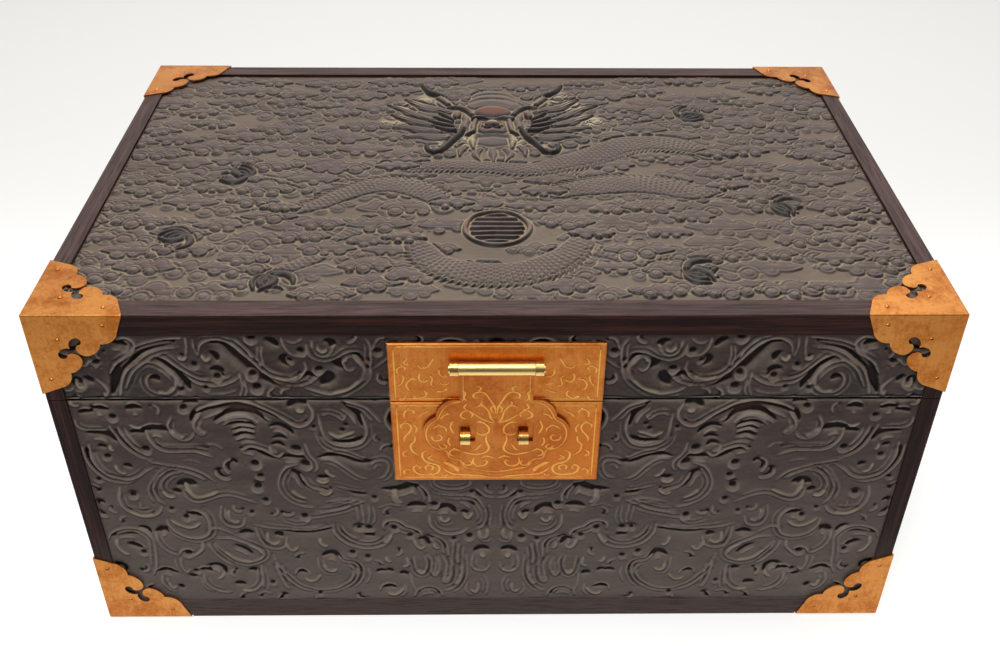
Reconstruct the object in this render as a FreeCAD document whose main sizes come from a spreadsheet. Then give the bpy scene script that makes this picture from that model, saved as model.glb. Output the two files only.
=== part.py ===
import FreeCAD, Part
import Sketcher
import math
import os

# Carved box with a hinged lid, brass corner mounts and a hasp lock.
# Millimetres; the front faces -Y, +Z is up, and the origin is the middle of the underside.

doc = FreeCAD.newDocument("carved_box")
sheet = doc.addObject("Spreadsheet::Sheet", "sizes")

# Driving sizes
sizes = {
    "box_width": 398.6,
    "box_depth": 256.0,
    "box_height": 192.8,
    "lid_height": 46.4,
    "post_size": 12.0,
    "post_face": 8.5,
    "wall_thickness": 10.0,
    "lap_depth": 6.0,
    "base_rail_face": 12.0,
    "base_rail_lap": 3.5,
    "floor_thickness": 8.0,
    "floor_inset": 6.5,
    "tenon_length": 3.0,
    "tenon_inset": 2.4,
    "tenon_thickness": 3.0,
    "tenon_bottom": 3.0,
    "tenon_height": 6.5,
    "joint_groove_height": 0.6,
    "joint_groove_depth": 0.8,
    "frame_edge": 0.8,
    "front_carving_depth": 2.0,
    "top_carving_depth": 1.8,
    "carving_land": 1.5,
    "lid_rail_height": 10.5,
    "lid_rail_width": 15.0,
    "top_margin_side": 9.0,
    "top_margin_front": 11.0,
    "top_lap_depth": 5.5,
    "top_panel_thickness": 9.0,
    "mount_reach": 41.8,
    "base_mount_rise": 44.5,
    "mount_sheet": 0.7,
    "mount_bend": 0.5,
    "mount_seat_fit": 0.15,
    "mount_floor_clear": 0.2,
    "nail_head_radius": 1.15,
    "nail_head_height": 0.75,
    "nail_shank_radius": 0.6,
    "nail_length": 4.5,
    "nail_fit": 0.05,
    "plate_width": 94.6,
    "plate_sheet": 1.6,
    "plate_edge": 0.5,
    "plate_upper_height": 32.4,
    "plate_lower_height": 47.8,
    "plate_joint_gap": 0.2,
    "hasp_axis_rise": 21.8,
    "hasp_axis_fit": 0.1,
    "hasp_sheet": 1.4,
    "hasp_gap": 0.15,
    "hasp_neck_width": 32.4,
    "hasp_shoulder_drop": 19.4,
    "hasp_head_width": 67.0,
    "hasp_head_height": 45.0,
    "hasp_barrel_radius": 3.05,
    "hasp_barrel_length": 33.0,
    "hasp_slot_spacing": 26.2,
    "hasp_slot_width": 7.2,
    "hasp_slot_height": 9.2,
    "hasp_slot_drop": 39.2,
    "pin_radius": 1.5,
    "pin_fit": 0.05,
    "pin_head_height": 0.6,
    "knuckle_radius": 3.4,
    "knuckle_width": 3.6,
    "knuckle_gap": 0.15,
    "shank_thickness": 2.4,
    "shank_fit": 0.1,
    "clinch_length": 4.0,
    "clinch_sheet": 1.2,
    "staple_radius": 3.5,
    "staple_eye_radius": 1.8,
    "staple_width": 4.4,
    "staple_shift": 0.9,
    "staple_drop": 0.4,
    "hinge_spacing": 210.0,
    "hinge_width": 46.0,
    "hinge_sheet": 1.2,
    "hinge_lid_rise": 27.0,
    "hinge_base_drop": 36.0,
    "hinge_barrel_radius": 3.0,
    "hinge_barrel_fit": 0.1,
    "hinge_knuckle_gap": 0.3,
    "hinge_middle_length": 18.0,
    "hinge_nail_margin": 5.0,
    "stop_tab_thickness": 1.2,
}
for row, (name, value) in enumerate(sizes.items(), 1):
    sheet.set(f"A{row}", name)
    sheet.set(f"B{row}", str(value))
    sheet.setAlias(f"B{row}", name)
doc.recompute()

stop_angle = 105.0


class Size:
    """A length that carries its sheet formula and its present value."""

    def __init__(self, text, value):
        self.text = text
        self.value = value

    @staticmethod
    def of(other):
        return other if isinstance(other, Size) else Size(repr(float(other)), float(other))

    def __add__(self, other):
        other = Size.of(other)
        return Size(f"({self.text} + {other.text})", self.value + other.value)

    def __sub__(self, other):
        other = Size.of(other)
        return Size(f"({self.text} - {other.text})", self.value - other.value)

    def __mul__(self, other):
        other = Size.of(other)
        return Size(f"({self.text} * {other.text})", self.value * other.value)

    def __truediv__(self, other):
        other = Size.of(other)
        return Size(f"({self.text} / {other.text})", self.value / other.value)

    def __neg__(self):
        return Size(f"(-1 * {self.text})", -self.value)

    def __radd__(self, other):
        return Size.of(other) + self

    def __rsub__(self, other):
        return Size.of(other) - self


def size(name):
    return Size(f"sizes.{name}", float(sheet.get(name)))


# Planes and levels that the pieces share
half_width = size("box_width") / 2
half_depth = size("box_depth") / 2
top = size("box_height")
joint = top - size("lid_height")
wall = size("wall_thickness")
lap = size("lap_depth")
post = size("post_size")
post_face = size("post_face")
rail_face = size("base_rail_face")
rail_top = rail_face + size("base_rail_lap")
front = -half_depth
back = half_depth
frame_under = top - size("lid_rail_height")
sheet_brass = size("mount_sheet")
plate_front = front - size("plate_sheet")
hasp_axis_y = plate_front - size("knuckle_radius") - size("hasp_axis_fit")
hasp_axis_z = joint + size("hasp_axis_rise")
hinge_axis_y = back + size("hinge_barrel_radius") + size("hinge_barrel_fit")
bore_radius = size("pin_radius") + size("pin_fit")

nodes = {}


def keep(name, piece):
    piece.Label = name
    nodes[name] = piece
    return piece


def place(piece, x, y, z):
    for axis, value in zip("xyz", (x, y, z)):
        piece.setExpression(f"Placement.Base.{axis}", Size.of(value).text)


def block(name, x0, x1, y0, y1, z0, z1):
    piece = doc.addObject("Part::Box", name)
    spans = (("Length", x0, x1), ("Width", y0, y1), ("Height", z0, z1))
    for prop, low, high in spans:
        piece.setExpression(prop, (Size.of(high) - low).text)
    place(piece, x0, y0, z0)
    return piece


def rod(name, radius, x0, x1, y, z):
    piece = doc.addObject("Part::Cylinder", name)
    piece.setExpression("Radius", Size.of(radius).text)
    piece.setExpression("Height", (Size.of(x1) - x0).text)
    piece.Placement = FreeCAD.Placement(
        FreeCAD.Vector(0, 0, 0), FreeCAD.Rotation(FreeCAD.Vector(0, 1, 0), 90))
    place(piece, x0, y, z)
    return piece


def drill(name, radius, x, y0, y1, z):
    piece = doc.addObject("Part::Cylinder", name)
    piece.setExpression("Radius", Size.of(radius).text)
    piece.setExpression("Height", (Size.of(y1) - y0).text)
    piece.Placement = FreeCAD.Placement(
        FreeCAD.Vector(0, 0, 0), FreeCAD.Rotation(FreeCAD.Vector(1, 0, 0), -90))
    place(piece, x, y0, z)
    return piece


def fuse(name, pieces):
    piece = doc.addObject("Part::MultiFuse", name)
    piece.Shapes = pieces
    piece.Refine = True
    return piece


def cut(name, stock, tools):
    piece = doc.addObject("Part::Cut", name)
    piece.Base = stock
    piece.Tool = tools[0] if len(tools) == 1 else fuse(name + "_tools", tools)
    piece.Refine = True
    return piece


def mirror(name, source, normal):
    piece = doc.addObject("Part::Mirroring", name)
    piece.Source = source
    piece.Base = (0, 0, 0)
    piece.Normal = normal
    return piece


across_x = (1, 0, 0)
across_y = (0, 1, 0)


def four_corners(prefix, source):
    """Keeps the front right piece and its three mirrored partners."""
    keep(prefix + "_front_right", source)
    keep(prefix + "_front_left", mirror(prefix + "_fl", source, across_x))
    behind = keep(prefix + "_back_right", mirror(prefix + "_br", source, across_y))
    keep(prefix + "_back_left", mirror(prefix + "_bl", behind, across_x))


def flat_body(name, plane, corners, thickness, reverse=False):
    """Pads a closed polygon whose corners are pinned to the sheet."""
    body = doc.addObject("PartDesign::Body", name)
    sketch = body.newObject("Sketcher::SketchObject", name + "_outline")
    origin = [f for f in body.Origin.OriginFeatures if f.Role == plane][0]
    sketch.AttachmentSupport = [(origin, "")]
    sketch.MapMode = "FlatFace"
    count = len(corners)
    points = [FreeCAD.Vector(Size.of(u).value, Size.of(v).value, 0) for u, v in corners]
    for i in range(count):
        sketch.addGeometry(Part.LineSegment(points[i], points[(i + 1) % count]), False)
    for i in range(count):
        sketch.addConstraint(Sketcher.Constraint("Coincident", i, 2, (i + 1) % count, 1))
    for i, (u, v) in enumerate(corners):
        for kind, value in (("DistanceX", u), ("DistanceY", v)):
            value = Size.of(value)
            index = sketch.addConstraint(Sketcher.Constraint(kind, -1, 1, i, 1, value.value))
            sketch.setExpression(f"Constraints[{index}]", value.text)
    pad = body.newObject("PartDesign::Pad", name + "_pad")
    pad.Profile = sketch
    pad.Reversed = reverse
    pad.setExpression("Length", Size.of(thickness).text)
    sketch.Visibility = False
    return body, pad


# Base panels, each a front layer that laps the frame and a back layer between the posts
def wall_panel(name, half_face, half_back, low, low_back, high):
    """Panel of a wall standing at y = front, from x = -half_face to half_face."""
    face = block(name + "_face", -half_face, half_face, front, front + lap, low, high)
    rear = block(name + "_rear", -half_back, half_back, front + lap, front + wall, low_back, high)
    return fuse(name + "_board", [face, rear])


def side_panel(name, low, low_back, high):
    """Panel of the wall standing at x = half_width."""
    face = block(name + "_face", half_width - lap, half_width,
                 front + post_face, back - post_face, low, high)
    rear = block(name + "_rear", half_width - wall, half_width - lap,
                 front + post, back - post, low_back, high)
    return fuse(name + "_board", [face, rear])


long_face = half_width - post_face
long_back = half_width - post

# Shanks of the hasp's collars and of the staples: a flat split pin clinched inside the wall
barrel_end = size("hasp_barrel_length") / 2
collar_in = barrel_end + size("knuckle_gap")
collar_out = collar_in + size("knuckle_width")
shank_half = size("shank_thickness") / 2
slot_z = hasp_axis_z - size("hasp_slot_drop")
staple_z = slot_z - size("staple_drop")
staple_y = plate_front - size("staple_radius")
staple_half = size("staple_width") / 2
inside = front + wall


def shank_hole(name, x0, x1, z):
    fit = size("shank_fit")
    return block(name, x0 - fit, x1 + fit, front - 10, inside + 5,
                 z - shank_half - fit, z + shank_half + fit)


def split_pin(name, x0, x1, y, z, radius, eye):
    """Ring at (y, z) with a flat shank through the wall and two arms turned out behind it."""
    arm = shank_half + size("clinch_length")
    ring = rod(name + "_ring", radius, x0, x1, y, z)
    shank = block(name + "_shank", x0, x1, y, inside + size("clinch_sheet"), z - shank_half, z + shank_half)
    arms = block(name + "_arms", x0, x1, inside, inside + size("clinch_sheet"), z - arm, z + arm)
    whole = fuse(name + "_whole", [ring, shank, arms])
    return cut(name, whole, [rod(name + "_eye", eye, x0 - 1, x1 + 1, y, z)])


staple_spans = {}
for side, sign in (("left", -1), ("right", 1)):
    middle = size("hasp_slot_spacing") / 2 * sign - size("staple_shift")
    staple_spans[side] = (middle - staple_half, middle + staple_half)
collar_spans = {"left": (-collar_out, -collar_in), "right": (collar_in, collar_out)}

# Shadow groove around the outside, where the lid meets the base
groove_half = size("joint_groove_height") / 2
groove_depth = size("joint_groove_depth")
groove = cut("joint_groove", block(
    "groove_outer", -half_width - 2, half_width + 2, front - 2, back + 2,
    joint - groove_half, joint + groove_half), [block(
        "groove_inner", groove_depth - half_width, half_width - groove_depth,
        front + groove_depth, back - groove_depth, joint - groove_half - 1, joint + groove_half + 1)])


def softened(name, stock):
    """Post stock with its outer upright edge rounded."""
    doc.recompute()
    outer = (half_width.value, front.value)
    piece = doc.addObject("Part::Fillet", name)
    piece.Base = stock
    radius = size("frame_edge").value
    piece.Edges = [(index, radius, radius) for index, edge in enumerate(stock.Shape.Edges, 1)
                   if all(abs(vertex.X - outer[0]) < 1e-6 and abs(vertex.Y - outer[1]) < 1e-6
                          for vertex in edge.Vertexes)]
    return piece


# Floor board, let into the rails and posts from below
floor_inset = size("floor_inset")
floor_blank = block("floor_blank", floor_inset - half_width, half_width - floor_inset,
                    front + floor_inset, back - floor_inset, 0, size("floor_thickness"))


# Corner mounts
# Half of one leaf, from the end on one edge to the diagonal: (u, v), then the middle of the arc
leaf_half = [
    ((38.4, 8.6), None),
    ((30.3, 14.5), (35.9, 12.7)),
    ((24.0, 20.8), (28.2, 18.4)),
    ((19.8, 18.4), (21.0, 20.1)),
    ((20.3, 15.1), (19.5, 16.6)),
    ((20.2, 11.2), (22.3, 13.1)),
    ((16.7, 15.6), (17.7, 12.7)),
]
leaf_span = 41.8


def leaf_wire(reach_u, reach_v, edge_u, edge_v, slot=True):
    """Closed outline of a leaf; edge_u and edge_v carry it past the bent edges."""
    scale_u = reach_u / leaf_span
    scale_v = reach_v / leaf_span

    def at(point):
        return FreeCAD.Vector(point[0] * scale_u, point[1] * scale_v, 0)

    half = leaf_half if slot else leaf_half[:3]
    steps = list(half)
    previous = [(leaf_span, 0.0)] + [end for end, middle in half]
    mirrored = []
    for index in range(len(half) - 1, -1, -1):
        end = previous[index]
        middle = half[index][1]
        swapped = None if middle is None else (middle[1], middle[0])
        mirrored.append(((end[1], end[0]), swapped))
    last = half[-1][0]
    if slot:
        steps.append(((16.9, 16.9), None))
    steps.append(((last[1], last[0]), None))
    steps.extend(mirrored)
    here = at((leaf_span, 0.0))
    corner = FreeCAD.Vector(-edge_u, -edge_v, 0)
    start = FreeCAD.Vector(here.x, -edge_v, 0)
    edges = [Part.makeLine(corner, start)]
    if edge_v > 0:
        edges.append(Part.makeLine(start, here))
    for end, middle in steps:
        there = at(end)
        if middle is None:
            edges.append(Part.makeLine(here, there))
        else:
            edges.append(Part.Arc(here, at(middle), there).toShape())
        here = there
    if edge_u > 0:
        turn = FreeCAD.Vector(-edge_u, here.y, 0)
        edges.append(Part.makeLine(here, turn))
        here = turn
    edges.append(Part.makeLine(here, corner))
    return Part.Wire(edges)


def laid(shape, origin, along_u, along_v):
    """Moves a shape drawn in (u, v) so that u and v run along two given directions."""
    u = FreeCAD.Vector(*along_u)
    v = FreeCAD.Vector(*along_v)
    w = u.cross(v)
    matrix = FreeCAD.Matrix(u.x, v.x, w.x, origin[0], u.y, v.y, w.y, origin[1],
                            u.z, v.z, w.z, origin[2], 0, 0, 0, 1)
    return shape.transformed(matrix)


def leaf(reach_u, reach_v, edge_u, edge_v, thickness, slot=True):
    face = Part.Face(leaf_wire(reach_u, reach_v, edge_u, edge_v, slot))
    return face.extrude(FreeCAD.Vector(0, 0, thickness))


nail_spots = ((33.0, 5.2), (5.2, 34.2), (12.6, 12.6))


def nail(point, direction, head_radius, head_height, shank_radius, length):
    """Domed nail whose head sits on the point and whose shank runs against the direction."""
    sphere = (head_radius ** 2 + head_height ** 2) / (2 * head_height)
    low = math.degrees(math.asin((sphere - head_height) / sphere))
    dome = Part.makeSphere(sphere, FreeCAD.Vector(0, 0, head_height - sphere),
                           FreeCAD.Vector(0, 0, 1), low, 90, 360)
    shank = Part.makeCylinder(shank_radius, length, FreeCAD.Vector(0, 0, -length))
    solid = dome.fuse(shank).removeSplitter()
    turn = FreeCAD.Rotation(FreeCAD.Vector(0, 0, 1), direction)
    solid.Placement = FreeCAD.Placement(point, turn)
    return solid


nail_sizes = [size("nail_head_radius").value, size("nail_head_height").value,
              size("nail_shank_radius").value, size("nail_length").value]


def lies_on_bend(edge, outer):
    """True for a straight edge on two of the three outer planes of a mount."""
    shared = 0
    for axis in range(3):
        if all(abs(vertex.Point[axis] - outer[axis]) < 1e-6 for vertex in edge.Vertexes):
            shared += 1
    return shared == 2


def corner_mount(name, rise, upward):
    """Front right mount: three leaves meeting at the corner, with its holes and nail points."""
    t = sheet_brass.value
    reach = size("mount_reach").value
    x = half_width.value
    y = front.value
    z = size("mount_floor_clear").value if upward else top.value
    vertical = (0, 0, 1) if upward else (0, 0, -1)
    lip = 0.0 if upward else t
    rise_scale = rise / leaf_span
    reach_scale = reach / leaf_span
    front_leaf = leaf(reach, rise, t, lip, t if not upward else -t)
    front_leaf = laid(front_leaf, (x, y, z), (-1, 0, 0), vertical)
    side_leaf = leaf(reach, rise, t, lip, -t if not upward else t)
    side_leaf = laid(side_leaf, (x, y, z), (0, 1, 0), vertical)
    flat_leaf = leaf(reach, reach, t, t, -t)
    flat_leaf = laid(flat_leaf, (x, y, z), (-1, 0, 0), (0, 1, 0))
    shape = front_leaf.fuse([side_leaf, flat_leaf]).removeSplitter()
    outer = (x + t, y - t, z if upward else z + t)
    bends = [edge for edge in shape.Edges if lies_on_bend(edge, outer)]
    shape = shape.makeFillet(size("mount_bend").value, bends)
    spots = []
    for u, v in nail_spots:
        du, dv = u * reach_scale, v * rise_scale
        level = z + vertical[2] * dv
        spots.append((FreeCAD.Vector(x - du, y - t, level), FreeCAD.Vector(0, -1, 0)))
        spots.append((FreeCAD.Vector(x + t, y + du, level), FreeCAD.Vector(1, 0, 0)))
        if not upward:
            spots.append((FreeCAD.Vector(x - du, y + v * reach_scale, z + t), FreeCAD.Vector(0, 0, 1)))
    hole = nail_sizes[2] + size("nail_fit").value
    drills = [Part.makeCylinder(hole, 4 * t, point - direction * 2 * t, direction)
              for point, direction in spots]
    piece = doc.addObject("Part::Feature", name)
    piece.Shape = shape.cut(drills)
    return piece, spots


lid_mount, lid_spots = corner_mount("lid_mount", size("mount_reach").value, False)
base_mount, base_spots = corner_mount("base_mount", size("base_mount_rise").value, True)
four_corners("lid_corner", lid_mount)
four_corners("base_corner", base_mount)


def mirrored_spots(spots):
    every = []
    for sx in (1, -1):
        for sy in (1, -1):
            for point, way in spots:
                every.append((FreeCAD.Vector(point.x * sx, point.y * sy, point.z),
                              FreeCAD.Vector(way.x * sx, way.y * sy, way.z)))
    return every


def nail_group(name, spots):
    group = doc.addObject("Part::Feature", name)
    group.Shape = Part.Compound([nail(point, way, *nail_sizes) for point, way in spots])
    return keep(name, group)


nail_group("lid_corner_nails", mirrored_spots(lid_spots))


# The flat leaf of a base mount lies just above the floor, in a shallow seat in the underside
seat_fit = size("mount_seat_fit").value
seat_reach = size("mount_reach").value + seat_fit
seat_depth = sheet_brass.value + size("mount_floor_clear").value
seat_shape = leaf(seat_reach * 1.012, seat_reach * 1.012, 1.0, 1.0, -seat_depth, slot=False)
seat_shape = laid(seat_shape, (half_width.value, front.value, 0.0), (-1, 0, 0), (0, 1, 0))
seat = doc.addObject("Part::Feature", "mount_seat")
seat.Shape = seat_shape
seats = [seat, mirror("mount_seat_fl", seat, across_x), mirror("mount_seat_br", seat, across_y)]
seats.append(mirror("mount_seat_bl", seats[2], across_x))

nail_group("base_corner_nails", mirrored_spots(base_spots))

keep("base_floor_board", cut("base_floor", floor_blank, seats))

# Main carved forms, left standing where the ground around them is cut away
# They are drawn for a box of this width, depth and height
drawn_width, drawn_depth, drawn_height = 398.6, 256.0, 192.8

# Scrolls on the left of the base's front: start, middle and end of an arc (x, z), then the width
front_scrolls = [
    ((-137.0, 130.5), (-115.0, 142.5), (-92.5, 130.5), 5.0),
    ((-92.5, 130.5), (-82.2, 134.3), (-88.3, 143.0), 4.0),
    ((-124.0, 126.0), (-115.0, 132.0), (-106.0, 126.5), 4.0),
    ((-118.5, 114.0), (-113.0, 119.0), (-108.0, 114.5), 4.0),
    ((-91.4, 108.3), (-101.3, 97.2), (-90.2, 79.7), 6.0),
    ((-90.2, 79.7), (-81.0, 78.5), (-72.9, 81.8), 5.5),
    ((-121.0, 70.1), (-93.9, 61.4), (-63.0, 75.0), 5.0),
    ((-176.6, 87.4), (-174.1, 73.5), (-160.5, 76.3), 5.0),
    ((-160.5, 76.3), (-163.0, 94.8), (-153.1, 105.6), 5.0),
    ((-150.4, 84.7), (-157.0, 92.3), (-146.9, 102.5), 4.0),
    ((-157.4, 70.1), (-148.2, 59.5), (-137.7, 68.6), 5.0),
    ((-125.2, 81.8), (-133.1, 73.2), (-124.0, 65.0), 4.5),
    ((-139.8, 59.7), (-134.0, 49.0), (-121.0, 40.5), 4.5),
    ((-189.0, 47.3), (-185.2, 61.5), (-167.7, 52.2), 5.0),
    ((-163.0, 49.7), (-150.6, 43.9), (-142.5, 56.8), 5.0),
    ((-146.0, 28.1), (-137.1, 17.0), (-115.8, 31.8), 5.0),
    ((-109.3, 40.5), (-90.2, 19.0), (-69.8, 36.8), 6.0),
    ((-69.8, 36.8), (-75.0, 44.5), (-85.8, 41.1), 5.0),
    ((-187.0, 120.9), (-188.0, 112.0), (-178.8, 97.0), 4.5),
    ((-187.6, 140.4), (-185.2, 127.5), (-174.7, 130.3), 4.0),
    ((-173.5, 129.3), (-166.7, 113.3), (-159.0, 116.0), 4.0),
    ((-156.8, 124.4), (-150.4, 114.3), (-130.9, 118.2), 4.0),
    ((-13.3, 62.7), (-7.1, 76.3), (-23.2, 89.8), 4.5),
    ((-13.3, 62.7), (-25.6, 59.6), (-28.7, 75.6), 4.5),
    ((-78.4, 126.2), (-69.2, 117.2), (-59.9, 129.3), 4.5),
    ((-66.1, 18.3), (-55.0, 30.0), (-44.5, 20.7), 4.5),
    ((-77.8, 65.8), (-68.6, 51.6), (-51.9, 55.3), 4.5),
    ((-36.0, 42.0), (-31.0, 32.0), (-35.0, 22.0), 4.5),
    ((-21.0, 50.0), (-15.5, 35.0), (-22.0, 18.0), 4.5),
]
# The dragon's body and legs on the top, in the same form (x, y)
body_bands = [
    ((-36.3, -71.7), (1.3, -94.5), (39.5, -69.2), 18.0),
    ((30.0, -21.7), (65.0, -13.0), (108.0, -18.5), 16.0),
    ((-45.0, 3.3), (-12.0, 6.0), (20.0, 2.0), 12.0),
    ((20.0, 2.0), (70.0, 27.0), (108.0, 20.0), 17.0),
    ((-100.0, -39.2), (-62.0, -15.0), (-30.0, -34.0), 14.0),
    ((68.0, 28.0), (74.0, 46.0), (94.0, 62.0), 6.0),
    ((110.0, -18.0), (126.0, -18.5), (134.0, -29.0), 6.0),
    ((40.0, -70.0), (62.0, -84.0), (80.0, -90.5), 6.0),
    ((-101.0, -40.0), (-121.0, -47.0), (-139.0, -60.0), 6.0),
    ((-62.0, -46.0), (-76.0, -73.0), (-95.0, -91.5), 6.0),
    ((-70.0, -16.0), (-96.0, -13.5), (-120.0, -8.0), 6.0),
]
feet = [(103.8, 63.8), (137.5, -31.7), (85.0, -91.7), (-143.8, -61.7), (-100.0, -94.2), (-125.0, -6.7)]
foot_radius = 7.5
roundel_middle, roundel_radius, roundel_ring, roundel_groove = (0.8, -55.4), 16.9, 2.4, 1.2
# The dragon's face, from crown to chin, and the locks of its mane on the left
face_top, face_foot, face_middle, face_half = (-0.8, 86.0), (-0.8, 28.0), 57.0, 17.5
mane_bands = [
    ((-20.0, 78.0), (-27.0, 86.0), (-36.0, 91.0), 5.0),
    ((-22.0, 66.0), (-38.0, 72.0), (-52.0, 86.0), 5.5),
    ((-22.0, 56.0), (-40.0, 57.0), (-58.0, 68.0), 5.5),
    ((-20.0, 44.0), (-36.0, 42.0), (-52.0, 48.0), 5.0),
    ((-17.0, 38.0), (-24.0, 24.0), (-34.0, 24.0), 4.0),
]
# Clouds on the rest of the top: lenses in staggered rows
cloud_gap_x, cloud_gap_y, cloud_half_length, cloud_half_height = 29.0, 14.2, 10.0, 4.2
cloud_rows, cloud_columns, cloud_clear = 16, 14, 1.5


def on_front(point):
    return FreeCAD.Vector(point[0] * size("box_width").value / drawn_width,
                          point[1] * size("box_height").value / drawn_height, 0)


def on_top(point):
    return FreeCAD.Vector(point[0] * size("box_width").value / drawn_width,
                          point[1] * size("box_depth").value / drawn_depth, 0)


def band(start, middle, end, width):
    """Face of even width along the arc through three points, with round ends."""
    arc = Part.Arc(start, middle, end).toShape().Curve
    half = width / 2
    spots = (start, middle, end)
    outer, inner = ([arc.Center + (spot - arc.Center) * ((arc.Radius + shift) / arc.Radius)
                     for spot in spots] for shift in (half, -half))
    tips = []
    for spot in (start, end):
        radial = (spot - arc.Center).normalize()
        way = FreeCAD.Vector(-radial.y, radial.x, 0)
        tips.append(spot + way * (half if way.dot(spot - middle) > 0 else -half))
    return Part.Face(Part.Wire([
        Part.Arc(*outer).toShape(), Part.Arc(outer[2], tips[1], inner[2]).toShape(),
        Part.Arc(*reversed(inner)).toShape(), Part.Arc(inner[0], tips[0], outer[0]).toShape()]))


def lens(first, last, bulge):
    """Face between two equal arcs from the first point to the last."""
    middle = (first + last) * 0.5
    return Part.Face(Part.Wire([Part.Arc(first, middle + bulge, last).toShape(),
                                Part.Arc(last, middle - bulge, first).toShape()]))


def disc(middle, radius):
    return Part.Face(Part.Wire(Part.makeCircle(radius, middle)))


def plane_face(u0, u1, v0, v1):
    return Part.makePlane(u1 - u0, v1 - v0, FreeCAD.Vector(u0, v0, 0))


def flipped(points):
    return [(-x, y) for x, y in points]


def bands_of(rows, at, both_sides):
    made = []
    for *points, width in rows:
        made.append(band(*[at(point) for point in points], width))
        if both_sides:
            made.append(band(*[at(point) for point in flipped(points)], width))
    return made


def ground_tool(name, area, standing, depth, lands, origin, along_u, along_v):
    """Stock to cut from a panel: its ground, less the forms and lands that stay."""
    above = 1.0
    deep = FreeCAD.Vector(0, 0, depth + above)
    stock = area.extrude(deep).cut([face.extrude(deep) for face in standing + lands])
    stock.translate(FreeCAD.Vector(0, 0, -depth))
    tool = doc.addObject("Part::Feature", name)
    tool.Shape = laid(stock, origin, along_u, along_v)
    return tool


def mount_lands(u, v, reach_v):
    """Plain land under the mounts at the corners (u, v) and (-u, v), drawn towards the middle."""
    reach = size("mount_reach").value + size("carving_land").value
    rise = reach_v + size("carving_land").value
    right = Part.Face(leaf_wire(reach, rise, 1.0, 1.0, False))
    turn = -1 if v > 0 else 1
    return [right.transformed(FreeCAD.Matrix(-side, 0, 0, side * u, 0, turn, 0, v, 0, 0, 1, 0, 0, 0, 0, 1))
            for side in (1, -1)]


land = size("carving_land").value
plate_land = plane_face(-size("plate_width").value / 2 - land, size("plate_width").value / 2 + land,
                        (joint - size("plate_joint_gap") - size("plate_lower_height")).value - land,
                        joint.value + land)
front_area = plane_face(-half_width.value, half_width.value, rail_face.value - 1, joint.value + 1)
front_ground = ground_tool(
    "front_ground", front_area, bands_of(front_scrolls, on_front, True), size("front_carving_depth").value,
    [plate_land] + mount_lands(half_width.value, 0.0, size("base_mount_rise").value),
    (0, front.value, 0), (1, 0, 0), (0, 0, 1))

top_forms = bands_of(body_bands, on_top, False) + bands_of(mane_bands, on_top, True)
top_forms += [disc(on_top(foot), foot_radius) for foot in feet]
ring_inside = roundel_radius - roundel_ring
top_forms += [disc(on_top(roundel_middle), roundel_radius).cut(disc(on_top(roundel_middle), ring_inside)),
              disc(on_top(roundel_middle), ring_inside - roundel_groove),
              lens(on_top(face_top), on_top(face_foot), FreeCAD.Vector(face_half, 0, 0))]
top_lands = mount_lands(half_width.value, half_depth.value, size("mount_reach").value)
top_lands += mount_lands(half_width.value, -half_depth.value, size("mount_reach").value)
clouds = []
for row in range(cloud_rows):
    for column in range(cloud_columns):
        x = (column - cloud_columns / 2 + 0.25 + row % 2 * 0.5) * cloud_gap_x
        y = (row - cloud_rows / 2 + 0.5) * cloud_gap_y
        shape = lens(on_top((x - cloud_half_length, y)), on_top((x + cloud_half_length, y)),
                     FreeCAD.Vector(0, cloud_half_height, 0))
        if abs(x) + cloud_half_length < drawn_width / 2 - size("lid_rail_width").value and all(
                shape.distToShape(form)[0] > cloud_clear for form in top_forms + top_lands):
            clouds.append(shape)
top_area = plane_face(-half_width.value, half_width.value, front.value, back.value)
top_ground = ground_tool("top_ground", top_area, top_forms + clouds, size("top_carving_depth").value, top_lands,
                         (0, 0, top.value), (1, 0, 0), (0, 1, 0))

# Base panels
base_front_blank = wall_panel("base_front", long_face, long_back, rail_face, rail_top, joint)
staple_holes = [shank_hole("staple_hole_" + side, span[0], span[1], staple_z)
                for side, span in staple_spans.items()]
keep("base_front_panel", cut("base_front_cut", base_front_blank, staple_holes + [groove, front_ground]))
keep("base_back_panel", cut("base_back_cut", mirror("base_back", base_front_blank, across_y), [groove]))
base_right = side_panel("base_right", rail_face, rail_top, joint)
base_right_panel = keep("base_right_panel", cut("base_right_cut", base_right, [groove]))
keep("base_left_panel", mirror("base_left", base_right_panel, across_x))

# Base rails between the posts, with stub tenons
tenon_low = size("tenon_bottom")
tenon_high = tenon_low + size("tenon_height")
tenon_near = size("tenon_inset")
tenon_far = tenon_near + size("tenon_thickness")
tenon_end = post - size("tenon_length")

front_rail = fuse("front_rail_stock", [
    block("front_rail_bar", -long_back, long_back, front, front + post, 0, rail_top),
    block("front_rail_tenons", tenon_end - half_width, half_width - tenon_end,
          front + tenon_near, front + tenon_far, tenon_low, tenon_high)])
base_rail_front = keep("base_rail_front", cut("front_rail", front_rail, [
    base_front_blank, floor_blank, seats[0], seats[1]]))
keep("base_rail_back", mirror("back_rail", base_rail_front, across_y))
right_rail = fuse("right_rail_stock", [
    block("right_rail_bar", half_width - post, half_width, front + post, back - post, 0, rail_top),
    block("right_rail_tenons", half_width - tenon_far, half_width - tenon_near,
          front + tenon_end, back - tenon_end, tenon_low, tenon_high)])
base_rail_right = keep("base_rail_right", cut("right_rail", right_rail, [
    base_right, floor_blank, seats[0], seats[2]]))
keep("base_rail_left", mirror("left_rail", base_rail_right, across_x))

# Base posts
base_post = block("base_post_stock", half_width - post, half_width, front, front + post, 0, joint)
four_corners("base_post", cut("base_post", softened("base_post_soft", base_post), [
    base_front_blank, base_right, front_rail, right_rail, floor_blank, seat, groove]))

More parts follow.
